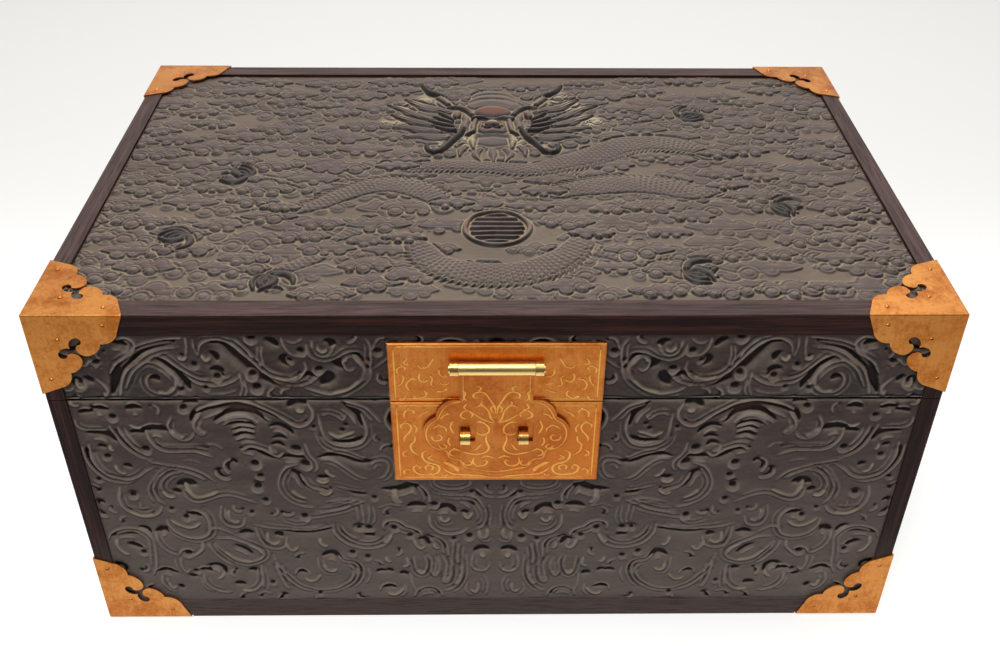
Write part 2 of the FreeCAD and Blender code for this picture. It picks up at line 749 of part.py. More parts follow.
# Lid panels and posts
lid_front_blank = wall_panel("lid_front", long_face, long_back, joint, joint, frame_under)
collar_holes = [shank_hole("collar_hole_" + side, span[0], span[1], hasp_axis_z)
                for side, span in collar_spans.items()]
keep("lid_front_panel", cut("lid_front_cut", lid_front_blank, collar_holes + [groove]))
keep("lid_back_panel", cut("lid_back_cut", mirror("lid_back", lid_front_blank, across_y), [groove]))
lid_right = side_panel("lid_right", joint, joint, frame_under)
lid_right_panel = keep("lid_right_panel", cut("lid_right_cut", lid_right, [groove]))
keep("lid_left_panel", mirror("lid_left", lid_right_panel, across_x))
lid_post = block("lid_post_stock", half_width - post, half_width, front, front + post, joint, frame_under)
four_corners("lid_post", cut("lid_post", softened("lid_post_soft", lid_post), [
    lid_front_blank, lid_right, groove]))

# Top panel and the mitred frame around it
top_lap = top - size("top_lap_depth")
rail_width = size("lid_rail_width")
top_x = half_width - size("top_margin_side")
top_y = half_depth - size("top_margin_front")
top_panel = fuse("top_panel", [
    block("top_panel_face", -top_x, top_x, -top_y, top_y, top_lap, top),
    block("top_panel_rear", rail_width - half_width, half_width - rail_width,
          front + rail_width, back - rail_width, top - size("top_panel_thickness"), top_lap)])
keep("lid_top_panel", cut("top_panel_carved", top_panel, [top_ground]))


def mitred_rail(name, corners):
    """Rail whose first side is its outer one, rounded along the top."""
    body, pad = flat_body(name + "_body", "XY_Plane", corners, size("lid_rail_height"))
    body.setExpression("Placement.Base.z", frame_under.text)
    doc.recompute()
    ends = [FreeCAD.Vector(Size.of(u).value, Size.of(v).value, pad.Shape.BoundBox.ZMax)
            for u, v in corners[:2]]
    outer = [f"Edge{index}" for index, edge in enumerate(pad.Shape.Edges, 1)
             if all(min(vertex.Point.distanceToPoint(end) for end in ends) < 1e-6
                    for vertex in edge.Vertexes)]
    soft = body.newObject("PartDesign::Fillet", name + "_edge")
    soft.Base = (pad, outer)
    soft.setExpression("Radius", size("frame_edge").text)
    return cut(name, body, [top_panel])


lid_rail_front = keep("lid_rail_front", mitred_rail("front_frame", [
    (-half_width, front), (half_width, front),
    (half_width - rail_width, front + rail_width), (rail_width - half_width, front + rail_width)]))
keep("lid_rail_back", mirror("back_frame", lid_rail_front, across_y))
lid_rail_right = keep("lid_rail_right", mitred_rail("right_frame", [
    (half_width, front), (half_width, back),
    (half_width - rail_width, back - rail_width), (half_width - rail_width, front + rail_width)]))
keep("lid_rail_left", mirror("left_frame", lid_rail_right, across_x))


# Lock plates with softened front edges
def lock_plate(name, low, high, holes):
    half = size("plate_width") / 2
    body, pad = flat_body(name + "_body", "XZ_Plane", [
        (-half, low), (half, low), (half, high), (-half, high)], size("plate_sheet"))
    body.setExpression("Placement.Base.y", front.text)
    doc.recompute()
    edges = []
    for index, edge in enumerate(pad.Shape.Edges, 1):
        if all(abs(vertex.Y - pad.Shape.BoundBox.YMin) < 1e-6 for vertex in edge.Vertexes):
            edges.append(f"Edge{index}")
    soft = body.newObject("PartDesign::Chamfer", name + "_edge")
    soft.Base = (pad, edges)
    soft.setExpression("Size", size("plate_edge").text)
    return keep(name, cut(name + "_cut", body, holes))


gap = size("plate_joint_gap")
lock_plate("lock_plate_upper", joint + gap, joint + gap + size("plate_upper_height"), collar_holes)
lock_plate("lock_plate_lower", joint - gap - size("plate_lower_height"), joint - gap, staple_holes)

# Hasp collars, pin and staples
for side, (x0, x1) in collar_spans.items():
    keep("hasp_collar_" + side, split_pin("collar_" + side, x0, x1, hasp_axis_y, hasp_axis_z,
                                          size("knuckle_radius"), bore_radius))
for side, (x0, x1) in staple_spans.items():
    keep("staple_" + side, split_pin("staple_" + side, x0, x1, staple_y, staple_z,
                                     size("staple_radius"), size("staple_eye_radius")))


def hinge_pin(name, length, x, y, z, head):
    """Round pin along X with a flat head outside each end of its barrel."""
    end = length / 2
    pieces = [rod(name + "_shaft", size("pin_radius"), x - end, x + end, y, z)]
    for tag, low, high in (("a", x - end - size("pin_head_height"), x - end),
                           ("b", x + end, x + end + size("pin_head_height"))):
        pieces.append(rod(name + "_head_" + tag, head, low, high, y, z))
    return keep(name, fuse(name + "_whole", pieces))


pin_head = size("pin_radius") + 0.6
hinge_pin("hasp_pin", collar_out * 2, Size.of(0), hasp_axis_y, hasp_axis_z, pin_head)

# Hasp: a cloud-shaped leaf rolled into a barrel at its upper end
# Right half of the cloud below the shoulder: (part of half width, part of height), arc middle
cloud_half = [
    ((0.600, 0.000), None),
    ((0.809, 0.215), (0.735, 0.070)),
    ((0.719, 0.685), (1.000, 0.435)),
    ((0.540, 0.820), (0.680, 0.795)),
    ((0.300, 0.955), (0.455, 0.930)),
    ((0.000, 1.000), None),
]


def cloud_leaf(name):
    x = size("hasp_head_width").value / 2
    drop = size("hasp_head_height").value
    neck = size("hasp_neck_width").value / 2
    shoulder = hasp_axis_z.value - size("hasp_shoulder_drop").value

    def at(point, sign):
        return FreeCAD.Vector(sign * point[0] * x, 0, shoulder - point[1] * drop)

    right = [FreeCAD.Vector(neck, 0, hasp_axis_z.value), FreeCAD.Vector(neck, 0, shoulder)]
    edges = [Part.makeLine(FreeCAD.Vector(-neck, 0, hasp_axis_z.value), right[0]),
             Part.makeLine(right[0], right[1])]
    for sign in (1, -1):
        here = FreeCAD.Vector(sign * neck, 0, shoulder)
        for end, middle in cloud_half:
            there = at(end, sign)
            if middle is None:
                edges.append(Part.makeLine(here, there))
            else:
                edges.append(Part.Arc(here, at(middle, sign), there).toShape())
            here = there
    edges.append(Part.makeLine(FreeCAD.Vector(-neck, 0, hasp_axis_z.value),
                               FreeCAD.Vector(-neck, 0, shoulder)))
    wire = Part.Wire(Part.__sortEdges__(edges))
    thick = size("hasp_sheet").value
    rear = plate_front.value - size("hasp_gap").value
    piece = doc.addObject("Part::Feature", name)
    piece.Shape = Part.Face(wire).extrude(FreeCAD.Vector(0, -thick, 0))
    piece.Placement = FreeCAD.Placement(FreeCAD.Vector(0, rear, 0), FreeCAD.Rotation())
    return piece


slot_half = size("hasp_slot_width") / 2
slot_rise = size("hasp_slot_height") / 2
slots = []
for side, sign in (("left", -1), ("right", 1)):
    x = size("hasp_slot_spacing") / 2 * sign
    slots.append(block("hasp_slot_" + side, x - slot_half, x + slot_half,
                       plate_front - 8, plate_front + 1, slot_z - slot_rise, slot_z + slot_rise))
hasp_whole = fuse("hasp_whole", [
    cloud_leaf("hasp_leaf"),
    rod("hasp_barrel", size("hasp_barrel_radius"), -barrel_end, barrel_end, hasp_axis_y, hasp_axis_z)])
hasp_bore = rod("hasp_bore", bore_radius, -barrel_end - 1, barrel_end + 1, hasp_axis_y, hasp_axis_z)
keep("hasp", cut("hasp_cut", hasp_whole, slots + [hasp_bore]))

# Back hinges
hinge_half = size("hinge_width") / 2
middle_half = size("hinge_middle_length") / 2
clear = size("hinge_knuckle_gap")
barrel = size("hinge_barrel_radius")
leaf_face = back + size("hinge_sheet")
lid_edge = joint + barrel + clear
base_edge = joint - barrel - clear
tab_half = size("stop_tab_thickness") / 2
tab_turn = f"({stop_angle} * 1 deg)"
leaf_depth = hinge_axis_y - leaf_face
tab_reach = Size(
    f"(({leaf_depth.text} - {tab_half.text} * sin{tab_turn}) / (-1 * cos{tab_turn}))",
    (leaf_depth.value - tab_half.value * math.sin(math.radians(stop_angle)))
    / -math.cos(math.radians(stop_angle)))


lid_leaf_top = joint + size("hinge_lid_rise")
base_leaf_foot = joint - size("hinge_base_drop")
nail_margin = size("hinge_nail_margin")
nail_columns = (nail_margin - hinge_half, Size.of(0), hinge_half - nail_margin)
lid_nail_rows = (lid_edge + nail_margin, lid_leaf_top - nail_margin)
base_nail_rows = (base_leaf_foot + nail_margin, base_edge - nail_margin)
nail_hole = size("nail_shank_radius") + size("nail_fit")


def leaf_drills(name, x, rows):
    return [drill(f"{name}_{i}_{j}", nail_hole, x + column, back - 1, leaf_face + 1, row)
            for i, column in enumerate(nail_columns) for j, row in enumerate(rows)]


def hinge(side, x):
    name = "hinge_" + side
    bore = rod(name + "_bore", bore_radius, x - hinge_half - 1, x + hinge_half + 1, hinge_axis_y, joint)
    lid_leaf = fuse(name + "_lid_stock", [
        block(name + "_lid_plate", x - hinge_half, x + hinge_half, back, leaf_face,
              lid_edge, lid_leaf_top),
        block(name + "_lid_neck", x - middle_half, x + middle_half, back, leaf_face, joint, lid_edge),
        rod(name + "_lid_roll", barrel, x - middle_half, x + middle_half, hinge_axis_y, joint),
        block(name + "_stop_tab", x - middle_half, x + middle_half, hinge_axis_y, hinge_axis_y + tab_reach,
              joint - tab_half, joint + tab_half)])
    lid_drills = leaf_drills(name + "_lid_drill", x, lid_nail_rows)
    keep(name + "_lid_leaf", cut(name + "_lid", lid_leaf, [bore] + lid_drills))
    pieces = [block(name + "_base_plate", x - hinge_half, x + hinge_half, back, leaf_face,
                    base_leaf_foot, base_edge)]
    for tag, low, high in (("a", x - hinge_half, x - middle_half - clear),
                           ("b", x + middle_half + clear, x + hinge_half)):
        pieces.append(block(f"{name}_base_neck_{tag}", low, high, back, leaf_face, base_edge, joint))
        pieces.append(rod(f"{name}_base_roll_{tag}", barrel, low, high, hinge_axis_y, joint))
    base_drills = leaf_drills(name + "_base_drill", x, base_nail_rows)
    keep(name + "_base_leaf", cut(name + "_base", fuse(name + "_base_stock", pieces), [bore] + base_drills))
    hinge_pin(name + "_pin", size("hinge_width"), x, hinge_axis_y, joint, pin_head)


hinge_x = size("hinge_spacing") / 2
hinge("left", -hinge_x)
hinge("right", hinge_x)


def hinge_nails(name, rows):
    spots = []
    for sign in (-1, 1):
        for column in nail_columns:
            for row in rows:
                point = FreeCAD.Vector(sign * hinge_x.value + column.value, leaf_face.value, row.value)
                spots.append((point, FreeCAD.Vector(0, 1, 0)))
    nail_group(name, spots)


hinge_nails("hinge_lid_nails", lid_nail_rows)
hinge_nails("hinge_base_nails", base_nail_rows)

doc.recompute()

faulty = [o.Label for o in doc.Objects if "Invalid" in o.State or "Error" in o.State]
for name, piece in nodes.items():
    shape = piece.Shape
    if shape.isNull() or not shape.isValid() or not shape.Solids:
        faulty.append(name)
if faulty:
    raise RuntimeError("pieces not sound: " + ", ".join(faulty))

os.makedirs("parts", exist_ok=True)
for name, piece in nodes.items():
    piece.Shape.exportStep(f"parts/{name}.step")
    print(name, len(piece.Shape.Solids), round(piece.Shape.Volume, 1))
print(len(nodes), "pieces written")
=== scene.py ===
import math
import bpy
import numpy as np
from mathutils import Matrix


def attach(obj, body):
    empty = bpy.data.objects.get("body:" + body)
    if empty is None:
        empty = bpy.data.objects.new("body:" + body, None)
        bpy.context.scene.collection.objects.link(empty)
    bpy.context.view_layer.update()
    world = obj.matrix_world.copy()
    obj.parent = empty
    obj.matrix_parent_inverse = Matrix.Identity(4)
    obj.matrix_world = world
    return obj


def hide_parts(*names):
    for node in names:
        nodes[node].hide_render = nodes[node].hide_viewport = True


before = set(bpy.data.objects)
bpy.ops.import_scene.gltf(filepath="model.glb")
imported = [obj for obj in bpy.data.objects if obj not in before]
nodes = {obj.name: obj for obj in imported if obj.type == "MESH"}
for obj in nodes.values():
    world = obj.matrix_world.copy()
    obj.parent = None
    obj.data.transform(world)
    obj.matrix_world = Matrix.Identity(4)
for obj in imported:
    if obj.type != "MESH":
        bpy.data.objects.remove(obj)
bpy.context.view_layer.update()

print("frame loaded,", len(nodes), "nodes")


# Shader helpers
def tone(red, green, blue):  # 8-bit screen colour to the linear colour a shader takes
    c = np.array((red, green, blue)) / 255.0
    c = np.where(c <= 0.04045, c / 12.92, ((c + 0.055) / 1.055) ** 2.4)
    return (*c.tolist(), 1.0)


class Wire:
    def __init__(self, tree, socket=None):
        self.tree = tree
        self.socket = socket

    def feed(self, entry, value):
        if isinstance(value, Wire):
            self.tree.links.new(value.socket, entry)
        else:
            entry.default_value = value

    def node(self, kind, settings, inputs, output=0):
        made = self.tree.nodes.new("ShaderNode" + kind)
        for key, value in settings.items():
            setattr(made, key, value)
        for key, value in inputs.items():
            self.feed(made.inputs[key], value)
        return Wire(self.tree, made.outputs[output])

    def math(self, operation, *values):
        return self.node("Math", {"operation": operation}, dict(enumerate(values)))

    def mix(self, factor, low, high):  # colours
        return self.node("Mix", {"data_type": "RGBA"}, {0: factor, 6: low, 7: high}, 2)

    def ramp(self, value, low, high):  # smooth step from 0 to 1
        return self.node("MapRange", {"interpolation_type": "SMOOTHSTEP"},
                         {"Value": value, "From Min": low, "From Max": high})

    def rise(self, value, low, high):  # straight line from 0 to 1
        return self.node("MapRange", {}, {"Value": value, "From Min": low, "From Max": high})

    def noise(self, place, scale, detail=3.0, rough=0.55):
        return self.node("TexNoise", {},
                         {"Vector": place, "Scale": scale, "Detail": detail, "Roughness": rough})

    def stretched(self, scale):  # object coordinates, scaled along each axis
        place = self.node("TexCoord", {}, {}, "Object")
        return self.node("Mapping", {}, {"Vector": place, "Scale": scale})

    def bump(self, strength, distance, height):
        return self.node("Bump", {}, {"Strength": strength, "Distance": distance, "Height": height})

    def part(self, source, axis):  # one coordinate of a place or of the normal
        return self.node("SeparateXYZ", {}, {0: self.node("TexCoord", {}, {}, source)}, axis)

    def __add__(self, other):
        return self.math("ADD", self, other)

    def __radd__(self, other):
        return self.math("ADD", other, self)

    def __sub__(self, other):
        return self.math("SUBTRACT", self, other)

    def __rsub__(self, other):
        return self.math("SUBTRACT", other, self)

    def __mul__(self, other):
        return self.math("MULTIPLY", self, other)

    def __rmul__(self, other):
        return self.math("MULTIPLY", other, self)


def startFinish(name):
    material = bpy.data.materials.new(name)
    material.use_nodes = True
    tree = material.node_tree
    surface = tree.nodes["Principled BSDF"]
    return material, Wire(tree), surface


def grainScale(axis, along, across):
    scale = [across, across, across]
    scale["xyz".index(axis)] = along
    return tuple(scale)


# Wood
woodLook = {
    "dark": tone(34, 17, 15),
    "middle": tone(61, 37, 33),
    "red": tone(100, 42, 24),
    "black": tone(16, 6, 5),
    "bloomAndPaintedLight": tone(112, 96, 92),  # greyish wax haze and painted sheen on what faces up; painted floor light near the bottom
    "bump": 0.35,
    "sheen": 0.1,
}
# carved looks: the worn colour lightens ridges, as worn edges and a painted highlight; the lip colour is
# painted light
# on slopes facing up the panel; the low share is painted floor light; the shade colour is painted shade
carvedLook = {
    "wall": {
        "skin": tone(78, 65, 61), "grain": tone(57, 43, 41), "worn": tone(144, 131, 123), "wearAndShine": 0.75,
        "dust": tone(160, 146, 116), "ground": 0.0, "lip": tone(154, 143, 129), "litSlope": 0.65,
        "low": 0.5, "shade": tone(16, 6, 6), "under": 0.97, "steep": 0.34,
        "pit": 0.95, "sheen": 0.15,
    },
    "top": {
        "skin": tone(84, 70, 63), "grain": tone(72, 54, 49), "worn": tone(118, 102, 92), "wearAndShine": 0.7,
        "dust": tone(168, 152, 120), "ground": 0.12, "lip": tone(168, 152, 120), "litSlope": 0.65,
        "low": 0.0, "shade": tone(16, 6, 5), "under": 0.95, "steep": 0.75,
        "pit": -0.6, "sheen": 0.3,
    },
}


def frameWood(name, axis):  # plain dark wood with fine streaks and pores along one axis, with a painted sheen on what faces up and painted floor light near the bottom
    material, w, surface = startFinish(name)
    broad = w.noise(w.stretched(grainScale(axis, 5, 70)), 1.0, 4.0)
    streak = w.noise(w.stretched(grainScale(axis, 14, 520)), 1.0, 3.0)
    pores = w.noise(w.stretched(grainScale(axis, 60, 1900)), 1.0, 2.0)
    cloudy = w.noise(w.stretched((1, 1, 1)), 28.0, 4.0)
    figure = w.ramp(broad * 0.25 + streak * 0.75, 0.36, 0.64)
    colour = w.mix(figure, woodLook["dark"], woodLook["middle"])
    colour = w.mix(w.ramp(streak, 0.54, 0.7) * 0.3, colour, woodLook["red"])
    # painted sheen: faces turned up are mixed towards pale grey, as if they mirrored the bright room above;
    # partly a wax haze
    upward = w.part("Normal", "Z")
    topSheen = w.ramp(upward, 0.2, 0.9) * (streak * 0.3 + cloudy * 0.2 + 0.02)
    colour = w.mix(topSheen, colour, woodLook["bloomAndPaintedLight"])
    # painted floor light: the lowest 7 cm are mixed towards the same pale grey, as if lit from the floor
    height = w.part("Object", "Z")
    colour = w.mix(w.ramp(0.0 - height, -0.07, 0.0) * 0.6, colour, woodLook["bloomAndPaintedLight"])
    surface.inputs["Specular IOR Level"].default_value = woodLook["sheen"]
    pit = w.ramp(pores, 0.38, 0.52)
    colour = w.mix(pit * -0.5 + 0.5, colour, woodLook["black"])
    w.feed(surface.inputs["Base Color"], colour)
    w.feed(surface.inputs["Roughness"], cloudy * 0.2 + 0.36)
    w.feed(surface.inputs["Normal"], w.bump(woodLook["bump"], 0.0003, pit * 0.6 + streak * 0.4))
    return material


def carvedWood(name, axis, look):
    # Carved wood: worn ridges that also take a painted highlight, dust on the ground, painted light on slopes
    # facing up the panel, painted shade on slopes facing down and in the walls' pits, dust in the top's pits,
    # painted floor light low on the walls, painted glints and painted black strokes where marked
    material, w, surface = startFinish(name)
    look = carvedLook[look]
    sunk, tilt, deep, blush, ink, tan = (
        w.node("Attribute", {"attribute_name": key}, {}, "Fac")
        for key in ("sunk", "tilt", "deep", "blush", "ink", "tan"))
    streak = w.noise(w.stretched(grainScale(axis, 20, 420)), 1.0, 3.0)
    speck = w.noise(w.stretched((1, 1, 1)), 700.0, 4.0, 0.65)
    cloudy = w.noise(w.stretched((1, 1, 1)), 34.0, 4.0)
    mottle = cloudy * 0.5 + speck * 0.5
    figure = w.ramp(streak, 0.36, 0.64) * 0.4 + w.ramp(cloudy, 0.4, 0.6) * 0.5
    colour = w.mix(figure, look["grain"], look["skin"])
    colour = w.mix(blush, colour, woodLook["red"])
    # worn ridges, lightened also as a painted highlight on the rims
    ridge = w.ramp(sunk * -1.0 + (mottle - 0.5) * 0.6, 0.0, 0.9)
    colour = w.mix(ridge * look["wearAndShine"], colour, look["worn"])
    surface.inputs["Specular IOR Level"].default_value = look["sheen"]
    # painted floor light: the walls are lightened towards the bottom of the box
    height = w.part("Object", "Z")
    colour = w.mix(w.ramp(0.0 - height, -0.17, 0.02) * look["low"], colour, look["worn"])
    powder = w.ramp(deep + (mottle - 0.5) * 1.2, 0.35, 0.95)
    colour = w.mix(powder * look["ground"], colour, look["dust"])
    # painted light: slopes facing up the panel, towards the lamps, are mixed towards the lip colour
    colour = w.mix(w.rise(tilt + (mottle - 0.5) * 0.3, 0.0, 0.9) * look["litSlope"], colour, look["lip"])
    # in hollows: painted shade on the walls, dust on the top
    pit = w.ramp(sunk + (mottle - 0.5) * 0.3, 0.1, 0.9)
    colour = w.mix(pit * abs(look["pit"]), colour, look["shade"] if look["pit"] > 0 else look["dust"])
    # painted shade: slopes facing down the panel, away from the lamps, are darkened
    colour = w.mix(w.rise(tilt * -1.0, 0.0, look["steep"]) * look["under"], colour, look["shade"])
    # painted highlight: glints and marked patches go to the dust colour, more where slopes face the lamps; on
    # the head partly dust
    colour = w.mix(tan * w.ramp(tilt + mottle, 0.2, 0.9), colour, look["dust"])
    # painted shade: marked strokes go to black
    colour = w.mix(ink, colour, woodLook["black"])
    w.feed(surface.inputs["Base Color"], colour)
    w.feed(surface.inputs["Roughness"], powder * 0.15 + cloudy * 0.2 + 0.34)
    w.feed(surface.inputs["Normal"], w.bump(0.3, 0.0003, streak * 0.5 + speck * 0.5))
    return material


# Brass
def brassTones(bright, deep, stain, worn, rough):
    return {"bright": tone(*bright), "deep": tone(*deep), "stain": tone(*stain), "worn": worn, "rough": rough}


brassLook = {
    "mount": brassTones((217, 150, 78), (168, 92, 33), (96, 58, 26), 0.3, 0.36),
    "plate": brassTones((222, 146, 72), (186, 100, 38), (112, 62, 26), 0.7, 0.42),
    "hasp": brassTones((218, 140, 67), (174, 91, 38), (98, 50, 26), 0.7, 0.44),
    "bright": brassTones((246, 214, 140), (214, 160, 82), (150, 104, 48), 0.2, 0.2),
    "line": brassTones((242, 184, 94), (218, 144, 62), (190, 118, 46), 0.3, 0.34),
}
sleeveHeight = 0.1652  # where the hasp's rolled barrel begins, in metres


def brass(name, look, brush, sleeve=None):
    # Satin brass: patches of patina, faint brushing, dark specks; polished above the sleeve's height
    material, w, surface = startFinish(name)
    look = brassLook[look]
    patch = w.noise(w.stretched((1, 1, 1)), 70.0, 5.0, 0.65)
    fine = w.noise(w.stretched((1, 1, 1)), 520.0, 4.0, 0.7)
    hair = w.noise(w.stretched(brush), 1.0, 2.0)
    figure = w.ramp(patch * 0.6 + fine * 0.3 + hair * 0.1, 0.36, 0.64)
    colour = w.mix(figure, look["deep"], look["bright"])
    broad = w.noise(w.stretched((1, 1, 1)), 26.0, 3.0)
    colour = w.mix(w.ramp(broad * 0.6 + patch * 0.4, 0.46, 0.66) * look["worn"], colour, look["deep"])
    colour = w.mix(w.ramp(patch * 0.5 + fine * 0.5, 0.54, 0.72) * 0.4, colour, look["stain"])
    rough = patch * 0.2 + fine * 0.14 + (look["rough"] - 0.15)
    if sleeve:
        height = w.part("Object", "Z")
        polished = w.ramp(height, sleeve, sleeve + 0.0002)
        colour = w.mix(polished, colour, brassLook["bright"]["bright"])
        rough = rough - polished * 0.14
    w.feed(surface.inputs["Base Color"], colour)
    surface.inputs["Metallic"].default_value = 1.0
    w.feed(surface.inputs["Roughness"], rough)
    w.feed(surface.inputs["Normal"], w.bump(0.16, 0.0002, patch * 0.4 + hair * 0.15 + fine * 0.45))
    return material


finishes = {axis: frameWood("frame_wood_" + axis, axis) for axis in "xyz"}
finishes["carvedFront"] = carvedWood("carved_wood_front", "x", "wall")
finishes["carvedSide"] = carvedWood("carved_wood_side", "y", "wall")
finishes["carvedTop"] = carvedWood("carved_wood_top", "x", "top")
finishes["mount"] = brass("mount_brass", "mount", (900, 900, 60))
finishes["plate"] = brass("plate_brass", "plate", (1400, 1400, 30))
finishes["hasp"] = brass("hasp_brass", "hasp", (1400, 1400, 30), sleeveHeight)
finishes["bright"] = brass("bright_brass", "bright", (40, 1200, 1200))
finishes["line"] = brass("chased_brass", "line", (300, 300, 300))


def dress(node, finish):
    mesh = nodes[node].data
    mesh.materials.clear()
    mesh.materials.append(finishes[finish])


for node in nodes:
    if "pin" in node or "collar" in node or "staple" in node:
        dress(node, "bright")
    elif "corner" in node or "hinge" in node:
        dress(node, "mount")
    elif node == "hasp":
        dress(node, "hasp")
    elif "lock_plate" in node:
        dress(node, "plate")
    elif "post" in node:
        dress(node, "z")
    elif node.endswith(("rail_left", "rail_right")):
        dress(node, "y")
    else:
        dress(node, "x")
print("finishes ready")


# Carving: a height field over a flat panel, u to the right and v up, in millimetres
def smooth(x, low, high):  # smooth step
    t = np.clip((x - low) / (high - low), 0.0, 1.0)
    return t * t * (3.0 - 2.0 * t)


def cordShape(q, across, along):  # half round: the root of 1 - q squared
    return np.sqrt(np.clip(1.0 - q * q, 0.0, 1.0))


def leafShape(q, across, along):  # one ridge falling to both edges, with fine veins along it
    return (1.0 - 0.6 * q) * (1.0 - smooth(q, 0.85, 1.0)) * (0.93 + 0.07 * np.cos(across * 5.2))


def lockShape(q, across, along):  # strands of hair: waves across a half round
    return np.sqrt(np.clip(1.0 - q * q, 0.0, 1.0)) * (0.8 + 0.2 * np.cos(across * 4.2))


def scaleShape(q, across, along):  # half round cut by rows of overlapping scales
    row = along / 2.6
    seat = across / 2.9 + 0.5 * (np.floor(row) % 2)
    r = np.hypot((seat - np.floor(seat) - 0.5) * 1.15, row - np.floor(row))
    groove = np.exp(-((r - 0.62) / 0.16) ** 2)
    body = np.sqrt(np.clip(1.0 - (0.85 * q) ** 2, 0.0, 1.0)) * (1.0 - smooth(q, 0.9, 1.0))
    return body * (1.0 - 0.4 * groove)


shapes = {"cord": cordShape, "leaf": leafShape, "lock": lockShape, "scale": scaleShape}


def curve(points, step=1.1):  # Catmull-Rom line through the points, at even spacing
    p = np.asarray(points, float)
    p = np.vstack([2 * p[0] - p[1], p, 2 * p[-1] - p[-2]])
    t = np.linspace(0, 1, 13)[:-1, None]
    pieces = []
    for a, b, c, d in zip(p[:-3], p[1:-2], p[2:-1], p[3:]):
        bend = 2 * a - 5 * b + 4 * c - d
        twist = 3 * b - a - 3 * c + d
        pieces.append(0.5 * (2 * b + (c - a) * t + bend * t ** 2 + twist * t ** 3))
    line = np.vstack(pieces + [p[-2:-1]])
    length = np.concatenate([[0.0], np.cumsum(np.hypot(*np.diff(line, axis=0).T))])
    even = np.linspace(0.0, length[-1], max(3, int(length[-1] / step) + 1))
    return np.column_stack([np.interp(even, length, line[:, k]) for k in (0, 1)])


